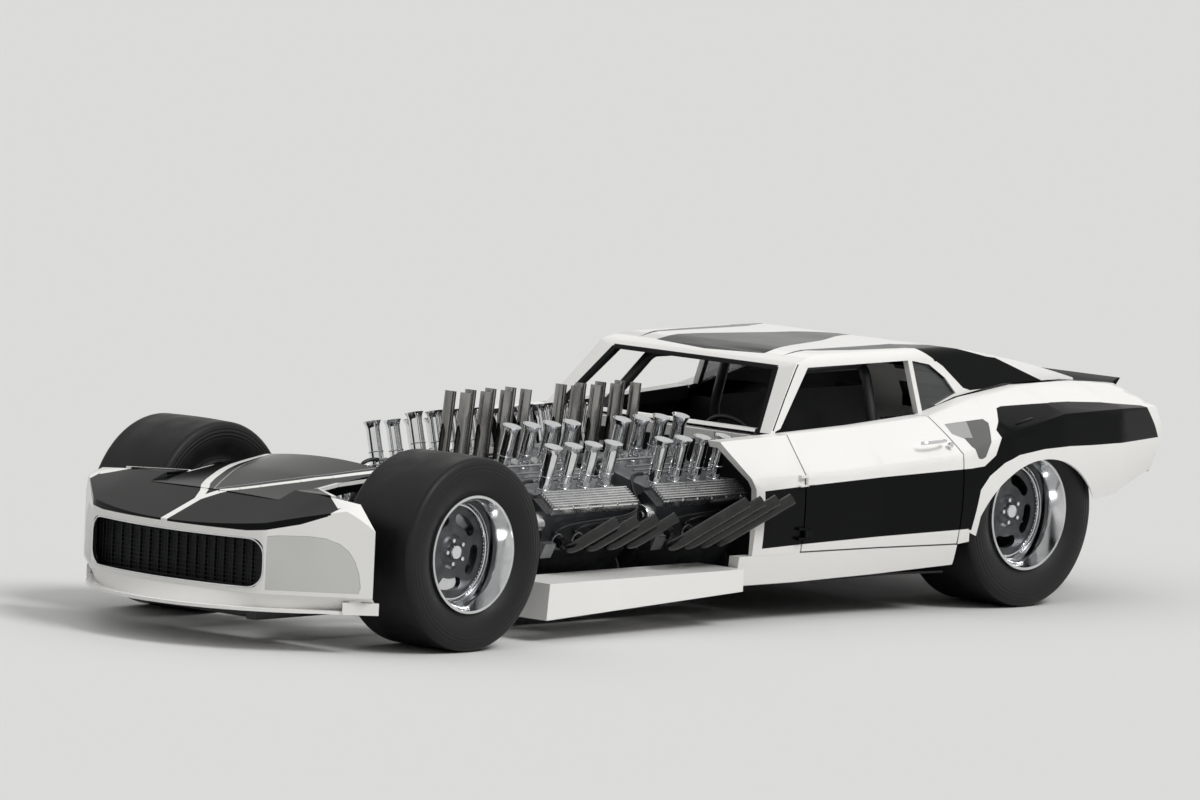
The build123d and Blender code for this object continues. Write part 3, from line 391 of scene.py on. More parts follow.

# the hood's side faces are white only in a thin strip along the edge; below it the black runs on as painted
# shade where the side face lies in shadow
hoodSet = {
    "top": [(2.3, -0.2), (2.3, 0.5), (1.0, 0.5), (1.0, -0.2)],
    "edgeFront": [(1.93, 0.556), (1.93, 0.571), (1.8, 0.5895), (1.8, 0.574)],
    "edgeRear": [(1.8, 0.574), (1.8, 0.5895), (1.2, 0.6195), (1.2, 0.604)],
}
hoodPaint = paintMaterial(
    "hoodLacquer",
    areasOf(topView, [hoodSet["top"]]),
    ribbons(lineSet["stripe"], lineSet["stripeWidth"])
    + areasOf(sideView, [hoodSet["edgeFront"], hoodSet["edgeRear"]]),
    [(toneSet["pinstripe"], ribbons(lineSet["pinstripe"], lineSet["pinWidth"]))],
)

roofSet = {
    "middle": [(-0.556, -0.1), (-0.60, 0.28), (-0.705, 0.268), (-1.05, 0.17), (-1.46, 0.0), (-1.46, -0.1)],
    "middleLevel": [(-0.5, 0.955), (-1.5, 0.93), (-1.5, 1.2), (-0.5, 1.2)],
    "edge": [(-0.595, 0.370), (-0.919, 0.437), (-1.191, 0.456), (-1.24, 0.456), (-1.24, 0.362),
             (-0.70, 0.368)],
    "edgeLevel": [(-0.5, 0.93), (-1.4, 0.93), (-1.4, 1.2), (-0.5, 1.2)],
    "edgeEnd": [(-1.22, 0.362), (-1.22, 0.457), (-1.306, 0.512), (-1.42, 0.545), (-1.42, 0.44)],
    "endLevel": [(-1.2, 0.94), (-1.45, 0.93), (-1.45, 1.2), (-1.2, 1.2)],
    "sailTop": [(-1.25, 0.985), (-1.381, 0.909), (-1.70, 0.905), (-1.70, 0.93), (-1.45, 0.985)],
    "sail": [(-1.370, 0.915), (-1.465, 0.830), (-1.505, 0.819), (-1.97, 0.832), (-1.70, 0.935), (-1.5, 0.96)],
    "screenTop": [(-0.1, 0.926), (-0.1, 0.945), (0.425, 0.945), (0.425, 0.926)],
    "screenLength": [(-0.1, 0.6), (-0.1, 1.0), (-0.62, 1.0), (-0.62, 0.6)],
    "pillar": ribbon((0.519, 0.70), (0.418, 0.935), 0.026),
    "pillarLength": [(-0.1, 0.6), (-0.1, 0.96), (-0.55, 0.96), (-0.55, 0.6)],
    "pillarLine": [(-0.545, 0.955), (-0.434, 0.834), (-0.33, 0.715)],
}
roofPaint = paintMaterial(
    "roofLacquer",
    [[(topView, roofSet[top]), (sideView, roofSet[level])]
     for top, level in (("middle", "middleLevel"), ("edge", "edgeLevel"), ("edgeEnd", "endLevel"))]
    + [[(sideView, roofSet[key]), alongside] for key in ("sailTop", "sail")]
    + [[(frontView, roofSet[front]), (sideView, roofSet[length])]
       for front, length in (("screenTop", "screenLength"), ("pillar", "pillarLength"))]
    + ribbons(roofSet["pillarLine"], lineSet["pinWidth"], sideView, alongside),
)

tailSet = {
    "panel": [(-0.1, 0.604), (-0.1, 0.718), (0.585, 0.712), (0.60, 0.612)],
    "length": [(-2.3, 0.5), (-2.6, 0.5), (-2.6, 0.8), (-2.3, 0.8)],
}
tailPaint = paintMaterial("tailLacquer", [[(frontView, tailSet["panel"]), (sideView, tailSet["length"])]])

# clear tempered pane with a faint smoke
glassLook = {"colour": "20262A", "aged": "2C3338", "spread": 0.3, "rough": (0.02, 0.06), "cloudMm": 300,
             "grainMm": 40, "depthMm": 0.01, "transmission": 0.55, "alpha": 0.6}
paneGlass = plainFinish("paneGlass", glassLook)
paneShader = paneGlass.node_tree.nodes["Principled BSDF"]
paneShader.inputs["Transmission Weight"].default_value = glassLook["transmission"]
paneShader.inputs["Alpha"].default_value = glassLook["alpha"]

# treadless racing cover: ring ribs moulded in the wall, told by distance from each axle
tyreSet = {"ribPitch": 0.014, "ribDepth": 0.0012, "wallStart": (0.30, 0.306), "wallEnd": (0.336, 0.342)}


def tyreMaterial():
    rubber = looks["rubber"]
    material, tree, shader, coords, stretched = startMaterial("slickRubber", rubber)
    split = addNode(tree, "ShaderNodeSeparateXYZ", None, {0: coords})
    ahead = mathNode(tree, "SUBTRACT", mathNode(tree, "ABSOLUTE", split.outputs[0]), axleSet["x"])
    up = mathNode(tree, "SUBTRACT", split.outputs[2], axleSet["z"])
    squares = [mathNode(tree, "MULTIPLY", reach, reach) for reach in (ahead, up)]
    radius = mathNode(tree, "SQRT", mathNode(tree, "ADD", *squares))
    dressSurface(tree, shader, stretched, rubber)
    wave = mathNode(tree, "SINE", mathNode(tree, "MULTIPLY", radius, 2 * pi / tyreSet["ribPitch"]))
    (start, full), (fading, end) = tyreSet["wallStart"], tyreSet["wallEnd"]
    wall = addNode(tree, "ShaderNodeMapRange", {1: start, 2: full}, {0: radius})
    rim = addNode(tree, "ShaderNodeMapRange", {1: fading, 2: end, 3: 1.0, 4: 0.0}, {0: radius})
    ribs = mathNode(tree, "MULTIPLY", mathNode(tree, "MULTIPLY", wall.outputs[0], rim.outputs[0]), wave)
    grain = shader.inputs["Normal"].links[0].from_socket
    bump = addNode(
        tree, "ShaderNodeBump", {"Strength": 0.5, "Distance": tyreSet["ribDepth"]},
        {"Height": ribs, "Normal": grain},
    )
    tree.links.new(bump.outputs[0], shader.inputs["Normal"])
    return material


slickRubber = tyreMaterial()
print("materials ready")


def shadeByAngle(bm, limit):
    bmesh.ops.recalc_face_normals(bm, faces=bm.faces)
    for face in bm.faces:
        face.smooth = True
    for edge in bm.edges:
        edge.smooth = len(edge.link_faces) == 2 and edge.calc_face_angle(0) < radians(limit)


def addPiece(name, bm, material, body, limit=32, recalc=True):
    if recalc:
        shadeByAngle(bm, limit)
    mesh = bpy.data.meshes.new(name)
    bm.to_mesh(mesh)
    bm.free()
    piece = bpy.data.objects.new(name, mesh)
    bpy.context.scene.collection.objects.link(piece)
    mesh.materials.append(material)
    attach(piece, body)
    return piece


mergeGap = 0.00002  # metres within which the loose triangles' corners are one


def finishNode(name, material, limit, roundMm=0.0, reshape=None, others=()):
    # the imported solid's own form, merged, with eased edges and smooth curved faces
    source = nodes[name]
    bm = bmesh.new()
    bm.from_mesh(source.data)
    bmesh.ops.remove_doubles(bm, verts=bm.verts, dist=mergeGap)
    bmesh.ops.dissolve_degenerate(bm, dist=mergeGap / 2, edges=bm.edges)
    if reshape:
        for v in bm.verts:
            reshape(v.co)
        bm.normal_update()
    if roundMm:
        bmesh.ops.dissolve_limit(bm, angle_limit=radians(1.2), verts=bm.verts, edges=bm.edges)
        hard = [e for e in bm.edges if len(e.link_faces) == 2 and e.calc_face_angle(0) > radians(limit)]
        bmesh.ops.bevel(
            bm, geom=hard, offset=roundMm / 1000, segments=2, profile=0.5, affect="EDGES", material=-1,
            clamp_overlap=True,
        )
        bmesh.ops.remove_doubles(bm, verts=bm.verts, dist=mergeGap)
    for face in bm.faces:
        face.smooth = True
        for index, (other, test) in enumerate(others, 1):
            if test(face.calc_center_median(), face.normal):
                face.material_index = index
    for edge in bm.edges:
        edge.smooth = len(edge.link_faces) == 2 and edge.calc_face_angle(0) < radians(limit + 6)
    piece = addPiece(name + "_finish", bm, material, source["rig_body"], recalc=False)
    for other, test in others:
        piece.data.materials.append(other)
    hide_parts(name)
    return piece


def addTube(bm, points, radius, around, closed=False):
    # smooth run along the points, made a mesh and joined to the piece
    curve = bpy.data.curves.new("run", "CURVE")
    curve.dimensions = "3D"
    curve.bevel_depth = radius
    curve.bevel_resolution = max(1, around // 4)
    curve.use_fill_caps = not closed
    curve.resolution_u = 6
    spline = curve.splines.new("NURBS" if len(points) > 2 else "POLY")
    spline.points.add(len(points) - 1)
    for item, point in zip(spline.points, points):
        item.co = (*point, 1.0)
    if len(points) > 2:
        spline.order_u = 3
        spline.use_endpoint_u = not closed
        spline.use_cyclic_u = closed
    holder = bpy.data.objects.new("run", curve)
    mesh = bpy.data.meshes.new_from_object(holder)
    bm.from_mesh(mesh)
    bpy.data.meshes.remove(mesh)
    bpy.data.objects.remove(holder)
    bpy.data.curves.remove(curve)


def addBlock(bm, low, high, ease):
    made = bmesh.ops.create_cube(bm, size=1.0)["verts"]
    size = [high[i] - low[i] for i in range(3)]
    middle = [(high[i] + low[i]) / 2 for i in range(3)]
    bmesh.ops.scale(bm, vec=size, verts=made)
    bmesh.ops.translate(bm, vec=middle, verts=made)
    edges = list({e for v in made for e in v.link_edges})
    bmesh.ops.bevel(bm, geom=edges, offset=ease, segments=2, profile=0.5, affect="EDGES", material=-1)


def addDisc(bm, place, radius, depth, segments, ease=0.0012, taper=1.0):
    made = bmesh.ops.create_cone(
        bm, cap_ends=True, segments=segments, radius1=radius, radius2=radius * taper, depth=depth,
        matrix=place,
    )["verts"]
    edges = [e for e in {e for v in made for e in v.link_edges} if len(e.link_faces) == 2
             and e.calc_face_angle(0) > radians(40)]
    bmesh.ops.bevel(bm, geom=edges, offset=ease, segments=2, profile=0.5, affect="EDGES", material=-1)


def turned(origin, direction):
    # local Z laid along the direction
    return Matrix.Translation(origin) @ Vector(direction).to_track_quat("Z", "X").to_matrix().to_4x4()


def addRing(bm, place, ringRadius, wireRadius, segments, wire=8):
    # a circle of wire spun about the local Z of the place
    start = bmesh.ops.create_circle(bm, cap_ends=False, segments=wire, radius=wireRadius)["verts"]
    bmesh.ops.rotate(bm, verts=start, cent=(0, 0, 0), matrix=Matrix.Rotation(pi / 2, 3, "X"))
    bmesh.ops.translate(bm, verts=start, vec=(ringRadius, 0, 0))
    before = set(bm.verts) - set(start)
    edges = list({e for v in start for e in v.link_edges})
    bmesh.ops.spin(
        bm, geom=start + edges, cent=(0, 0, 0), axis=(0, 0, 1), angle=2 * pi, steps=segments, use_merge=True,
        use_duplicate=False,
    )
    made = [v for v in bm.verts if v not in before]
    bmesh.ops.transform(bm, matrix=place, verts=made)


# body panels, painted outside and satin black within
panels = {
    "cowl": sidePaint, "door_left": sidePaint, "door_right": sidePaint, "quarter_left": sidePaint,
    "quarter_right": sidePaint, "side_pod_left": sidePaint, "side_pod_right": sidePaint,
    "tail_panel": tailPaint,
}
insideSet = {"bodyZ": 0.5, "bodyTurn": 0.45, "noseX": 1.95, "noseZ": 0.33, "noseAcross": 0.7, "noseTurn": 0.3}


def facesInward(centre, normal):
    # the moulded inside of a shell looks back at the car's long middle
    toMiddle = Vector((0, -centre.y, insideSet["bodyZ"] - centre.z))
    return normal.dot(toMiddle) > insideSet["bodyTurn"] * toMiddle.length


def facesIntoNose(centre, normal):
    toMiddle = Vector((
        insideSet["noseX"] - centre.x, -centre.y * insideSet["noseAcross"], insideSet["noseZ"] - centre.z,
    ))
    return normal.dot(toMiddle) > insideSet["noseTurn"] * toMiddle.length


# a bow is the centre and radius of the nose's front as seen from above
mouthSet = {
    "fromX": 2.2, "half": 0.4236, "middleZ": 0.353, "halfHeight": 0.0636, "drop": 1.88, "widen": 1.036,
    "outer": (1.1023, 1.2777), "inner": (1.1661, 1.1999), "skin": 0.006,
}
roofDrop = {"above": 0.93, "rearX": -1.6, "half": 0.42, "fade": 0.5, "drop": 0.016}
lipDrop = {"above": 0.815, "keep": 0.45}
postTuck = {"edgeY": (0.6995, 0.7005), "edgeX": (2.055, 2.08), "shift": 0.0255}
grilleDrop = {"below": 0.275, "drop": 0.046}


def bowX(bow, y):
    middle, radius = bow
    return middle + (radius ** 2 - y ** 2) ** 0.5


def openMouth(co):
    # the mouth reaches down to the lip and out to the cheeks, its edge kept on the bowed front
    below = mouthSet["middleZ"] - co.z
    if co.x < mouthSet["fromX"] or abs(co.y) > mouthSet["half"] or abs(below) > mouthSet["halfHeight"]:
        return
    bow = mouthSet["outer"]
    if bowX(bow, co.y) - co.x > mouthSet["skin"]:
        bow = mouthSet["inner"]
    if below > 0:
        co.z = mouthSet["middleZ"] - below * mouthSet["drop"]
    co.y *= mouthSet["widen"]
    co.x = bowX(bow, co.y)


def lowerCrest(co):
    if co.z > roofDrop["above"] and co.x > roofDrop["rearX"]:
        across = max(0.0, 1 - (co.y / roofDrop["half"]) ** 2)
        fade = min(1.0, (co.x - roofDrop["rearX"]) / roofDrop["fade"])
        co.z -= roofDrop["drop"] * across * fade


def lowerLip(co):
    if co.z > lipDrop["above"]:
        co.z = lipDrop["above"] + (co.z - lipDrop["above"]) * lipDrop["keep"]


def tuckPosts(co):
    # the outer edge of each post lies flush with the turned-up end
    (lowY, highY), (lowX, highX) = postTuck["edgeY"], postTuck["edgeX"]
    if lowY < abs(co.y) < highY and lowX < co.x < highX:
        co.x -= postTuck["shift"]


def deeperGrille(co):
    if co.z < grilleDrop["below"]:
        co.z -= grilleDrop["drop"]


inside = [(finish["cabin"], facesInward)]
for name, material in panels.items():
    finishNode(name, material, 46, others=inside)
finishNode("chin_spoiler", finish["white"], 30, reshape=tuckPosts)
finishNode("nose_shell", nosePaint, 46, reshape=openMouth, others=[(finish["cabin"], facesIntoNose)])
finishNode("hood", hoodPaint, 30)
finishNode("roof", roofPaint, 30, reshape=lowerCrest, others=inside)
finishNode("deck_lid", finish["black"], 30, reshape=lowerLip)


def addPlate(bm, corners, shift, ease):
    # thin plate: an outline extruded by the shift, its edges eased
    face = bm.faces.new([bm.verts.new(corner) for corner in corners])
    made = bmesh.ops.extrude_face_region(bm, geom=[face])["geom"]
    bmesh.ops.translate(bm, vec=shift, verts=[v for v in made if isinstance(v, bmesh.types.BMVert)])
    bmesh.ops.bevel(bm, geom=bm.edges[:], offset=ease, segments=2, profile=0.5, affect="EDGES", material=-1)


# the nose's top runs on beside the hood to a slanted edge ahead of each front wheel
notchSet = {
    "corners": [(2.0335, 0.3315, 0.5725), (1.900, 0.3315, 0.5755), (2.0335, 0.543, 0.5735)],
    "thick": 0.012, "ease": 0.0015,
}
for side, sign in sides.items():
    bm = bmesh.new()
    corners = [(x, sign * y, z) for x, y, z in notchSet["corners"]]
    addPlate(bm, corners, (0, 0, -notchSet["thick"]), notchSet["ease"])
    addPiece(f"notch_panel_{side}", bm, nosePaint, "body")

# thin black strip where the wheel well comes through the hip, sloped as the hip is
hipSet = {
    "outline": [(-1.552, 0.8285), (-1.460, 0.8285), (-1.455, 0.834), (-1.460, 0.8395), (-1.552, 0.8395),
                (-1.557, 0.834)],
    "x": -1.54, "y": 0.834, "z": 0.7358, "fallAhead": 0.195, "fallOut": 0.5, "out": 0.0004, "thick": 0.0009,
    "ease": 0.0002,
}


def hipLevel(x, y):
    return hipSet["z"] - hipSet["fallOut"] * (y - hipSet["y"]) - hipSet["fallAhead"] * (x - hipSet["x"])


for side, sign in sides.items():
    bm = bmesh.new()
    corners = [(x, sign * y, hipLevel(x, y)) for x, y in hipSet["outline"]]
    addPlate(bm, corners, (0, sign * hipSet["out"], hipSet["thick"]), hipSet["ease"])
    addPiece(f"hip_strip_{side}", bm, sidePaint, "body")
print("body panels finished")

# cabin, chassis and running gear: finish and rounding in millimetres
plainNodes = {
    "frame_rails": ("chassis", 2.0), "roll_cage": ("chassis", 0), "track_rod": ("brushed", 0),
    "knuckle_left": ("iron", 0), "knuckle_right": ("iron", 0), "front_axle": ("iron", 0),
    "rear_axle": ("iron", 0), "drive_front": ("iron", 0), "drive_rear": ("iron", 0),
    "floor_pan": ("cabin", 0), "firewall": ("cabin", 0), "dash": ("cabin", 2.0), "steering_wheel": ("hose", 0),
    "outer_headers_left": ("header", 0), "outer_headers_right": ("header", 0),
    "inner_exhausts": ("heatSteel", 0),
}
for name, (surface, easeMm) in plainNodes.items():
    finishNode(name, finish[surface], 30, easeMm)
finishNode("grille", finish["mesh"], 30, reshape=deeperGrille)
for name in ("rear_window", "quarter_windows"):
    finishNode(name, paneGlass, 30)
print("chassis and cabin finished")

# wheels with nuts, cap and rolled lips
wheelSet = {
    "nuts": 5, "firstNut": 18, "nutCircle": 0.0456, "nutRadius": 0.0088, "nutHeight": 0.016, "nutOut": 0.007,
    "capRadius": 0.0289, "capHeight": 0.02, "capOut": 0.009, "capTaper": 0.86, "hubDepth": 0.102,
    "centreRadius": 0.178, "centreOut": 0.745,
    # rings: depth under the flange, radius, wire, steps around
    "rings": [(0.0015, 0.2165, 0.003, 72), (0.106, 0.176, 0.0035, 64)],
}


def slottedCentre(axleX):
    # tells the cast centre from the polished rim by its distance from the axle and its depth
    def onCentre(centre, normal):
        out = ((centre.x - axleX) ** 2 + (centre.z - axleSet["z"]) ** 2) ** 0.5
        return out < wheelSet["centreRadius"] and abs(centre.y) < wheelSet["centreOut"]

    return onCentre


for end, axleX in (("front", axleSet["x"]), ("rear", -axleSet["x"])):
    for side, sign in sides.items():
        body = f"wheel_{end}_{side}"
        finishNode(f"tyre_{end}_{side}", slickRubber, 40)
        finishNode(body, finish["polished"], 30, others=[(finish["magnesium"], slottedCentre(axleX))])
        outward = (0, sign, 0)
        hub = axleSet["flange"] - wheelSet["hubDepth"]
        bm = bmesh.new()
        for index in range(wheelSet["nuts"]):
            angle = radians(wheelSet["firstNut"] + 360 / wheelSet["nuts"] * index)
            x = axleX + wheelSet["nutCircle"] * sin(angle)
            z = axleSet["z"] + wheelSet["nutCircle"] * cos(angle)
            spot = (x, sign * (hub + wheelSet["nutOut"]), z)
            addDisc(bm, turned(spot, outward), wheelSet["nutRadius"], wheelSet["nutHeight"], 6)
        cap = turned((axleX, sign * (hub + wheelSet["capOut"]), axleSet["z"]), outward)
        addDisc(bm, cap, wheelSet["capRadius"], wheelSet["capHeight"], 28, 0.003, wheelSet["capTaper"])
        addPiece(f"{body}_nuts", bm, finish["chrome"], body)
        bm = bmesh.new()
        for depth, radius, wire, steps in wheelSet["rings"]:
            place = turned((axleX, sign * (axleSet["flange"] - depth), axleSet["z"]), outward)
            addRing(bm, place, radius, wire, steps)
        addPiece(f"{body}_lip", bm, finish["chrome"], body)
print("wheels finished")

# engines: a place is along the crank, u outward and w upward from it, leaning with the block
engineSet = {
    "frontX": 0.614, "pitch": 0.617, "crankY": 0.236, "crankZ": 0.235, "cant": 14.5, "bore": 0.11125,
    "rowU": 0.112, "manifoldTop": 0.3235, "bracketAlong": 0.19, "bracketU": (0.2345, 0.27),
    "bracketTop": 0.176,
}
lean = radians(engineSet["cant"])
bores = [engineSet["bore"] * (1.5 - index) for index in range(4)]


def engineMiddle(front):
    return engineSet["frontX"] - (0 if front else engineSet["pitch"])


def enginePoint(front, sign, along, u, w):
    x = engineMiddle(front) + along
    y = engineSet["crankY"] + u * cos(lean) + w * sin(lean)
    return (x, sign * y, engineSet["crankZ"] - u * sin(lean) + w * cos(lean))


def engineUp(sign, u, w):
    return (0, sign * (u * cos(lean) + w * sin(lean)), -u * sin(lean) + w * cos(lean))


# finned cover: its middle, cosine and sine of its tilt, its edge and its nuts
coverSet = {
    "u": 0.191, "w": 0.296, "cos": 0.9316, "sin": 0.3635, "edgeU": 0.232, "edgeW": 0.280, "lift": 0.0025,
    "half": 0.236, "nuts": 6, "nutPitch": 0.082, "nutAcross": 0.0437, "nutUp": 0.0265, "nutRadius": 0.0042,
    "nutHeight": 0.006,
}
pumpSet = {
    "u": 0.196, "w": 0.236, "face": 0.2585, "disc": 0.041, "rimAlong": 0.2945, "rim": 0.036,
    "rimWire": 0.0032, "hubAlong": 0.2955, "hub": 0.013, "hubDepth": 0.006,
}


def coverPoint(front, sign, bank, along, across, height):
    # a place on the finned cover: across its width, height over its base
    u = coverSet["u"] - coverSet["cos"] * across + coverSet["sin"] * height
    w = coverSet["w"] + coverSet["sin"] * across + coverSet["cos"] * height
    return enginePoint(front, sign, along, bank * u, w)


def engineParts(front, sign):
    # tells the buffed covers, the drive disc and the bare bracket from the enamelled block
    def spot(centre):
        y, z = sign * centre.y - engineSet["crankY"], centre.z - engineSet["crankZ"]
        return centre.x - engineMiddle(front), y * cos(lean) - z * sin(lean), y * sin(lean) + z * cos(lean)

    def onCover(centre, normal):
        along, u, w = spot(centre)
        over = (abs(u) - coverSet["edgeU"]) * coverSet["sin"] + (w - coverSet["edgeW"]) * coverSet["cos"]
        return over > coverSet["lift"] and abs(along) < coverSet["half"]

    def onDisc(centre, normal):
        along, u, w = spot(centre)
        out = ((u - pumpSet["u"]) ** 2 + (w - pumpSet["w"]) ** 2) ** 0.5
        return along > pumpSet["face"] and out < pumpSet["disc"]

    def onBracket(centre, normal):
        along, u, w = spot(centre)
        inner, outer = engineSet["bracketU"]
        return along > engineSet["bracketAlong"] and inner < u < outer and w < engineSet["bracketTop"]

    def onManifold(centre, normal):
        return spot(centre)[2] < engineSet["manifoldTop"]

    covers = [(finish["cover"], onCover), (finish["cover"], onDisc), (finish["cast"], onBracket)]
    return covers, [(finish["cast"], onManifold)]


def coverNuts(front, sign, tag):
    # hold-down nuts along both edges of the covers
    bm = bmesh.new()
    for bank in (1, -1):
        foot, tip = (Vector(coverPoint(front, sign, bank, 0, 0, height)) for height in (0, 1))
        for across in (coverSet["nutAcross"], -coverSet["nutAcross"]):
            for index in range(coverSet["nuts"]):
                along = coverSet["nutPitch"] * (index - (coverSet["nuts"] - 1) / 2)
                spot = coverPoint(front, sign, bank, along, across, coverSet["nutUp"])
                addDisc(bm, turned(spot, tip - foot), coverSet["nutRadius"], coverSet["nutHeight"], 6, 0.0006)
    addPiece(f"cover_nuts_{tag}", bm, finish["chrome"], "body")


# plug leads: along, u and w of each place, the last ones measured from their own bore
leadSet = {
    "start": (-0.235, 0.05, 0.30),
    "behind": [(-0.249, 0.12, 0.338), (-0.250, 0.215, 0.312), (-0.235, 0.254, 0.262)],
    "run": (-0.06, 0.252, 0.246), "plug": [(0.03, 0.254, 0.225), (0.03, 0.2325, 0.2)], "under": 0.006,
    "radius": 0.004, "boot": (0.03, 0.241, 0.205), "bootTilt": 0.45, "bootRadius": 0.0075,
    "bootLength": 0.022,
}


def plugLeads(front, sign, tag):
    # from the back of the valley, down behind each cover and along to the plugs, one under the other
    bm = bmesh.new()
    for bank in (1, -1):
        for order, bore in enumerate(bores):
            drop = leadSet["under"] * order
            route = [leadSet["start"]] + [(along, u, w - drop) for along, u, w in leadSet["behind"]]
            along, u, w = leadSet["run"]
            route += [(bore + along, u, w - drop)] + [(bore + along, u, w) for along, u, w in leadSet["plug"]]
            places = [enginePoint(front, sign, along, bank * u, w) for along, u, w in route]
            addTube(bm, places, leadSet["radius"], 8)
            along, u, w = leadSet["boot"]
            boot = enginePoint(front, sign, bore + along, bank * u, w)
            outward = engineUp(sign, bank * 1.0, leadSet["bootTilt"])
            addDisc(bm, turned(boot, outward), leadSet["bootRadius"], leadSet["bootLength"], 12, 0.0015)
    addPiece(f"plug_leads_{tag}", bm, finish["hose"], "body")


railSet = {
    "inset": 0.036, "w": 0.352, "half": 0.2, "radius": 0.006, "nozzleInset": 0.0255, "nozzleW": 0.37,
    "nozzleRadius": 0.0035, "rodU": 0.02, "rodW": 0.345, "rodHalf": 0.19, "rodRadius": 0.004,
    # clamps around each stack: w, radius, wire
    "clamps": [(0.334, 0.0285, 0.0035), (0.385, 0.0272, 0.0025)],
}


def addLengthwise(bm, front, sign, half, u, w, radius, around):
    addTube(bm, [enginePoint(front, sign, along, u, w) for along in (-half, half)], radius, around)


def fuelRails(front, sign, tag):
    # fuel rails with their nozzles, clamps around the stacks, and throttle rods in the valley
    bm = bmesh.new()
    for row in (1, -1):
        railU = row * (engineSet["rowU"] - railSet["inset"])
        nozzleU = row * (engineSet["rowU"] - railSet["nozzleInset"])
        addLengthwise(bm, front, sign, railSet["half"], railU, railSet["w"], railSet["radius"], 10)
        for bore in bores:
            foot = enginePoint(front, sign, bore, railU, railSet["w"])
            tip = enginePoint(front, sign, bore, nozzleU, railSet["nozzleW"])
            addTube(bm, [foot, tip], railSet["nozzleRadius"], 8)
            for w, radius, wire in railSet["clamps"]:
                clamp = enginePoint(front, sign, bore, row * engineSet["rowU"], w)
                addRing(bm, turned(clamp, engineUp(sign, 0, 1)), radius, wire, 24, 6)
    for u in (-railSet["rodU"], railSet["rodU"]):
        addLengthwise(bm, front, sign, railSet["rodHalf"], u, railSet["rodW"], railSet["rodRadius"], 8)
    addPiece(f"fuel_rails_{tag}", bm, finish["brushed"], "body")


hoseSet = {"start": (0.262, 0.17, 0.245), "over": [(0.285, 0.12, 0.30), (0.27, 0.08, 0.36)], "radius": 0.0075}


def fuelHoses(front, sign, tag):
    # fuel hoses looping from the pump disc up to the rails
    bm = bmesh.new()
    for row in (1, -1):
        railEnd = (railSet["half"], engineSet["rowU"] - railSet["inset"], railSet["w"])
        places = [enginePoint(front, sign, *hoseSet["start"])]
        places += [enginePoint(front, sign, along, row * u, w) for along, u, w in (*hoseSet["over"], railEnd)]
        addTube(bm, places, hoseSet["radius"], 10)
    addPiece(f"fuel_hoses_{tag}", bm, finish["hose"], "body")


def pumpRim(front, sign, tag):
    # bright rim and hub of the pump disc
    bm = bmesh.new()
    rim, hub = (
        turned(enginePoint(front, sign, pumpSet[key], pumpSet["u"], pumpSet["w"]), (1, 0, 0))
        for key in ("rimAlong", "hubAlong")
    )
    addRing(bm, rim, pumpSet["rim"], pumpSet["rimWire"], 40)
    addDisc(bm, hub, pumpSet["hub"], pumpSet["hubDepth"], 20)
    addPiece(f"pump_rim_{tag}", bm, finish["chrome"], "body")


driveSet = {"at": (0.2985, 0.062, 0.13), "radius": 0.05, "depth": 0.018}


def camDrive(sign, tag):
    # cam drive disc on the nose of each front engine
    bm = bmesh.new()
    hub = turned(enginePoint(True, sign, *driveSet["at"]), (1, 0, 0))
    addDisc(bm, hub, driveSet["radius"], driveSet["depth"], 36, 0.002)
    addPiece(f"cam_drive_{tag}", bm, finish["cast"], "body")


flangeSet = {"u": 0.2365, "w": 0.172, "radius": 0.0265, "wire": 0.004}


def headerFlanges(front, sign, tag):
    # header flange rings on the outer head, one per port
    bm = bmesh.new()
    for bore in bores:
        port = enginePoint(front, sign, bore, flangeSet["u"], flangeSet["w"])
        addRing(bm, turned(port, engineUp(sign, 1, 0)), flangeSet["radius"], flangeSet["wire"], 20, 6)
    addPiece(f"header_flanges_{tag}", bm, finish["cast"], "body")


for end, front in (("front", True), ("rear", False)):
    for side, sign in sides.items():
        tag = f"{end}_{side}"
        covers, manifold = engineParts(front, sign)
        finishNode(f"engine_{tag}", finish["block"], 26, others=covers)
        finishNode(f"injection_{tag}", finish["chrome"], 26, others=manifold)
        for addDress in (coverNuts, plugLeads, fuelRails, fuelHoses, pumpRim):
            addDress(front, sign, tag)
        if front:
            camDrive(sign, tag)
        headerFlanges(front, sign, tag)
print("engines finished")

# wire mesh behind the bars of the mouth
gridSet = {
    "x": 2.2562, "half": 0.445, "low": 0.224, "high": 0.424, "pitch": 0.016, "rows": 13, "rowUp": 0.004,
    "rowAhead": 0.001, "wire": 0.0016,
}
bm = bmesh.new()
for index in range(int(2 * gridSet["half"] / gridSet["pitch"]) + 1):
    y = -gridSet["half"] + index * gridSet["pitch"]
    addTube(bm, [(gridSet["x"], y, z) for z in (gridSet["low"], gridSet["high"])], gridSet["wire"], 4)
for index in range(gridSet["rows"]):
    z = gridSet["low"] + gridSet["rowUp"] + index * gridSet["pitch"]
    x = gridSet["x"] + gridSet["rowAhead"]
    addTube(bm, [(x, y, z) for y in (-gridSet["half"], gridSet["half"])], gridSet["wire"], 4)
addPiece("mouth_mesh", bm, finish["mesh"], "body")

# skirt that closes the nose down to the chin lip: each edge is bowed, then swept back beyond a corner
skirtSet = {
    "steps": 30, "half": 0.742, "thick": 0.003,
    "nose": {"bow": mouthSet["outer"], "corner": 0.445, "cornerX": 2.30, "run": 0.301, "fall": 0.268,
             "z": 0.2185, "inset": 0.002},
    "chin": {"bow": (1.7225, 0.7375), "corner": 0.59, "cornerX": 2.165, "run": 0.156, "fall": 0.169,
             "z": 0.1625, "inset": 0.034},
}


def edgeX(edge, y):
    beyond = abs(y) - edge["corner"]
    if beyond > 0:
        return edge["cornerX"] - beyond / edge["run"] * edge["fall"]
    return bowX(edge["bow"], y)


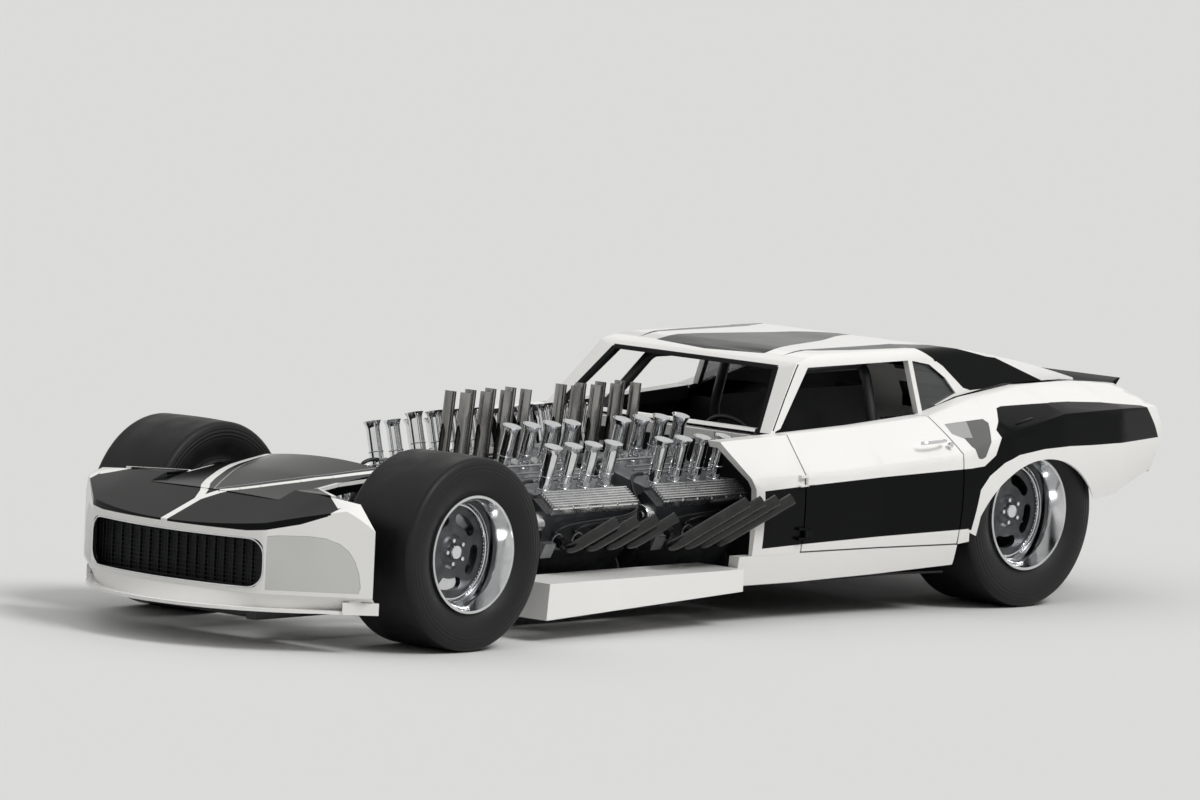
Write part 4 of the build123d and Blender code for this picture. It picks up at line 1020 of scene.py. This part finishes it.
bm = bmesh.new()
loops = []
for edge in (skirtSet["nose"], skirtSet["chin"]):
    line = []
    for step in range(skirtSet["steps"] + 1):
        y = skirtSet["half"] * (2 * step / skirtSet["steps"] - 1)
        line.append(bm.verts.new((edgeX(edge, y) - edge["inset"], y * (1 - edge["inset"]), edge["z"])))
    loops += [bm.edges.new(pair) for pair in zip(line, line[1:])]
made = bmesh.ops.bridge_loops(bm, edges=loops)["faces"]
bmesh.ops.recalc_face_normals(bm, faces=made)
bmesh.ops.solidify(bm, geom=bm.faces[:], thickness=skirtSet["thick"])
addPiece("chin_valance", bm, finish["white"], "body")

# bead around the mouth, laid on the bowed front
trimSet = {
    "half": 0.440, "low": 0.2345, "high": 0.416, "round": 0.062, "wire": 0.0032, "runHalf": 0.32,
    "runStep": 0.08,
}
corners = []
for start, y, z in ((0, 1, 1), (90, -1, 1), (180, -1, -1), (270, 1, -1)):
    middleY = y * (trimSet["half"] - trimSet["round"])
    middleZ = trimSet["high"] - trimSet["round"] if z > 0 else trimSet["low"] + trimSet["round"]
    for step in range(7):
        turn = radians(start + 15 * step)
        corners.append((middleY + trimSet["round"] * cos(turn), middleZ + trimSet["round"] * sin(turn)))
    if y == z:
        # the long top and bottom runs need points between, so the bead follows the bow
        level = trimSet["high"] if z > 0 else trimSet["low"]
        corners += [(z * (trimSet["runHalf"] - trimSet["runStep"] * step), level) for step in range(9)]
bm = bmesh.new()
addTube(bm, [(bowX(mouthSet["outer"], y), y, z) for y, z in corners], trimSet["wire"], 8, closed=True)
addPiece("mouth_bead", bm, finish["polished"], "body")
print("nose finished")

# door pulls with their lock buttons
pullSet = {
    "bar": [(-0.955, 0.790, 0.662), (-0.965, 0.806, 0.664), (-1.075, 0.815, 0.668), (-1.088, 0.797, 0.667)],
    "barRadius": 0.0065, "lock": (-1.11, 0.8055, 0.650), "lockTilt": 0.25, "lockRadius": 0.011,
    "lockDepth": 0.014,
}
for side, sign in sides.items():
    bm = bmesh.new()
    addTube(bm, [(x, sign * y, z) for x, y, z in pullSet["bar"]], pullSet["barRadius"], 10)
    x, y, z = pullSet["lock"]
    lock = turned((x, sign * y, z), (0, sign, pullSet["lockTilt"]))
    addDisc(bm, lock, pullSet["lockRadius"], pullSet["lockDepth"], 20)
    addPiece(f"door_pull_{side}", bm, finish["chrome"], f"door_{side}")

# tail lamps, three a side, with their bezels
lampSet = {
    "count": 3, "firstY": 0.30, "pitch": 0.085, "lensX": (-2.4055, -2.391), "lensHalf": 0.024,
    "lensZ": (0.622, 0.700), "lensEase": 0.004, "bezelX": -2.4045, "bezelHalf": 0.028,
    "bezelZ": (0.618, 0.704), "bezelWire": 0.0028,
}
lampPlaces = [
    sign * (lampSet["firstY"] + lampSet["pitch"] * index)
    for sign in (1, -1) for index in range(lampSet["count"])
]
bm = bmesh.new()
for y in lampPlaces:
    low, high = ((x, y + turn * lampSet["lensHalf"], z)
                 for x, turn, z in zip(lampSet["lensX"], (-1, 1), lampSet["lensZ"]))
    addBlock(bm, low, high, lampSet["lensEase"])
addPiece("tail_lamps", bm, finish["lens"], "body")
bm = bmesh.new()
for y in lampPlaces:
    half, (low, high) = lampSet["bezelHalf"], lampSet["bezelZ"]
    corners = [(y - half, low), (y + half, low), (y + half, high), (y - half, high)]
    for a, b in zip(corners, corners[1:] + corners[:1]):
        addTube(bm, [(lampSet["bezelX"], *a), (lampSet["bezelX"], *b)], lampSet["bezelWire"], 8)
addPiece("lamp_bezels", bm, finish["chrome"], "body")

fillerSet = {
    "at": (-2.402, 0, 0.655), "ringAt": (-2.4045, 0, 0.6555), "facing": (-1, 0, 0.2), "radius": 0.045,
    "depth": 0.014, "ring": 0.047, "wire": 0.003,
}
bm = bmesh.new()
addDisc(bm, turned(fillerSet["at"], fillerSet["facing"]), fillerSet["radius"], fillerSet["depth"], 36, 0.003)
addRing(bm, turned(fillerSet["ringAt"], fillerSet["facing"]), fillerSet["ring"], fillerSet["wire"], 40)
addPiece("tail_filler_cap", bm, finish["polished"], "body")
print("trim finished")

# driver's seat: a span is the rear low and the front high corner in x and z
seatSet = {
    "lanes": 4, "firstY": -0.046, "lanePitch": 0.083, "laneWidth": 0.080, "cuts": 5, "pinch": (0.05, 0.04),
    "cushion": ((-0.985, 0.165), (-0.765, 0.292)), "cushionPuff": 0.10,
    "back": ((-0.03, -0.19), (0.03, 0.16)), "backTilt": -15, "backAt": (-1.025, 0, 0.44),
    "bolster": ((-1.06, 0.165), (-0.765, 0.345)), "bolsterY": (-0.071, 0.291), "bolsterWidth": 0.020,
    "bolsterPuff": 0.02,
}


def softBlock(target, span, startY, width, puff, tilt=0.0, moved=(0, 0, 0)):
    # crowned pad: corners held in, middles swelling
    low, high = ((x, y, z) for (x, z), y in zip(span, (startY, startY + width)))
    pad = bmesh.new()
    bmesh.ops.create_cube(pad, size=1.0)
    bmesh.ops.subdivide_edges(pad, edges=pad.edges, cuts=seatSet["cuts"], use_grid_fill=True)
    pinchX, pinchY = seatSet["pinch"]
    for v in pad.verts:
        x, y, z = (2 * c for c in v.co)
        swell = 1 + puff * (1 - x * x) * (1 - y * y)
        across = y * (1 - pinchY * (x * x + z * z))
        v.co = Vector((x * (1 - pinchX * (y * y + z * z)) / 2, across / 2, z * swell / 2))
    bmesh.ops.scale(pad, vec=[high[i] - low[i] for i in range(3)], verts=pad.verts)
    bmesh.ops.translate(pad, vec=[(high[i] + low[i]) / 2 for i in range(3)], verts=pad.verts)
    bmesh.ops.rotate(pad, verts=pad.verts, cent=(0, 0, 0), matrix=Matrix.Rotation(radians(tilt), 3, "Y"))
    bmesh.ops.translate(pad, verts=pad.verts, vec=moved)
    mesh = bpy.data.meshes.new("pad")
    pad.to_mesh(mesh)
    pad.free()
    target.from_mesh(mesh)
    bpy.data.meshes.remove(mesh)


bm = bmesh.new()
width = seatSet["laneWidth"]
for lane in range(seatSet["lanes"]):
    laneY = seatSet["firstY"] + lane * seatSet["lanePitch"]
    softBlock(bm, seatSet["cushion"], laneY, width, seatSet["cushionPuff"])
    softBlock(bm, seatSet["back"], laneY, width, 0.0, seatSet["backTilt"], seatSet["backAt"])
for bolsterY in seatSet["bolsterY"]:
    softBlock(bm, seatSet["bolster"], bolsterY, seatSet["bolsterWidth"], seatSet["bolsterPuff"])
cushion = addPiece("driver_seat_pads", bm, finish["vinyl"], "body", 60)
sub = cushion.modifiers.new("round", "SUBSURF")
sub.levels = 1
sub.render_levels = 1
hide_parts("driver_seat")

# shoulder straps: round runs spread sideways into flat webbing
strapSet = {
    "y": (0.05, 0.19), "run": [(-1.055, 0.60), (-1.0, 0.58), (-0.945, 0.44), (-0.925, 0.315)],
    "radius": 0.004, "spread": 5.0,
}
bm = bmesh.new()
for y in strapSet["y"]:
    addTube(bm, [(x, y, z) for x, z in strapSet["run"]], strapSet["radius"], 6)
for v in bm.verts:
    middle = min(strapSet["y"], key=lambda y: abs(v.co.y - y))
    v.co.y = middle + (v.co.y - middle) * strapSet["spread"]
addPiece("shoulder_straps", bm, finish["webbing"], "body")
print("seat finished")

# dials on the dash: each rim's y and radius
dialSet = {
    "x": -0.4365, "z": 0.632, "facing": (-1, 0, -0.16), "wire": 0.0028,
    "rims": [(0.12, 0.03444), (0.02, 0.02788), (-0.07, 0.02132), (-0.13, 0.02132), (0.21, 0.0246)],
}
bm = bmesh.new()
for y, radius in dialSet["rims"]:
    addRing(bm, turned((dialSet["x"], y, dialSet["z"]), dialSet["facing"]), radius, dialSet["wire"], 32)
addPiece("dial_rims", bm, finish["chrome"], "body")
print("dash finished")

# floor, light and camera
floorSet = {"colour": "D5D5D3", "rough": 0.9, "half": 120}
floorMesh = bpy.data.meshes.new("studioFloor")
bm = bmesh.new()
bmesh.ops.create_grid(bm, x_segments=1, y_segments=1, size=floorSet["half"])
bm.to_mesh(floorMesh)
bm.free()
floor = bpy.data.objects.new("studioFloor", floorMesh)
bpy.context.scene.collection.objects.link(floor)
paper = bpy.data.materials.new("palePaper")
paper.use_nodes = True
paperShader = paper.node_tree.nodes["Principled BSDF"]
paperShader.inputs["Base Color"].default_value = hexLinear(floorSet["colour"])
paperShader.inputs["Roughness"].default_value = floorSet["rough"]
floorMesh.materials.append(paper)

# soft overhead light that falls off to a dim horizon; the camera, reflections and glass see plain pale paper
lightSet = {
    "horizon": "2E2F30", "zenith": "F8F8F8", "rise": (0.28, 0.75), "strength": 0.97, "paper": "DFDFDD",
    "sun": 1.7, "sunAngle": 22, "sunTo": (0.12, -0.85, -0.95),
}
world = bpy.data.worlds.new("studioWorld")
bpy.context.scene.world = world
world.use_nodes = True
tree = world.node_tree
background = tree.nodes["Background"]
sky = addNode(tree, "ShaderNodeTexCoord").outputs["Generated"]
height = addNode(tree, "ShaderNodeSeparateXYZ", None, {0: sky}).outputs[2]
low, high = lightSet["rise"]
rise = addNode(tree, "ShaderNodeMapRange", {1: low, 2: high}, {0: height}).outputs[0]
glow = blendColour(tree, rise, hexLinear(lightSet["horizon"]), hexLinear(lightSet["zenith"]))
rays = addNode(tree, "ShaderNodeLightPath").outputs
seen = mathNode(tree, "MAXIMUM", rays["Is Camera Ray"], rays["Is Glossy Ray"])
seen = mathNode(tree, "MAXIMUM", seen, rays["Is Transmission Ray"])
tree.links.new(blendColour(tree, seen, glow, hexLinear(lightSet["paper"])), background.inputs["Color"])
background.inputs["Strength"].default_value = lightSet["strength"]

lamp = bpy.data.lights.new("keyLamp", "SUN")
lamp.energy = lightSet["sun"]
lamp.angle = radians(lightSet["sunAngle"])
holder = bpy.data.objects.new("keyLamp", lamp)
bpy.context.scene.collection.objects.link(holder)
holder.rotation_euler = Vector(lightSet["sunTo"]).to_track_quat("-Z", "Y").to_euler()

# the camera is fitted to the photograph: focal length in its pixels, place in metres, turns in radians
cameraSet = {
    "focalPixels": 13516.7514872, "place": (38.0637642, 34.4673991, 5.8787106), "yaw": 3.8776494,
    "pitch": -0.0987917, "roll": 0.0461663, "imageWidth": 1200, "sensor": 36.0, "near": 1.0, "far": 400.0,
}
yaw, pitch, roll = cameraSet["yaw"], cameraSet["pitch"], cameraSet["roll"]
forward = Vector((cos(yaw) * cos(pitch), sin(yaw) * cos(pitch), sin(pitch)))
right = forward.cross(Vector((0, 0, 1))).normalized()
up = right.cross(forward)
rightTurned = right * cos(roll) + up * sin(roll)
upTurned = -right * sin(roll) + up * cos(roll)
camera = bpy.data.cameras.new("photoCamera")
camera.sensor_width = cameraSet["sensor"]
camera.lens = cameraSet["focalPixels"] / cameraSet["imageWidth"] * cameraSet["sensor"]
camera.clip_start = cameraSet["near"]
camera.clip_end = cameraSet["far"]
viewer = bpy.data.objects.new("photoCamera", camera)
bpy.context.scene.collection.objects.link(viewer)
turn = Matrix((rightTurned, upTurned, -forward)).transposed()
viewer.matrix_world = Matrix.Translation(cameraSet["place"]) @ turn.to_4x4()
bpy.context.scene.camera = viewer
bpy.context.scene.view_settings.view_transform = "Standard"

print("scene ready")
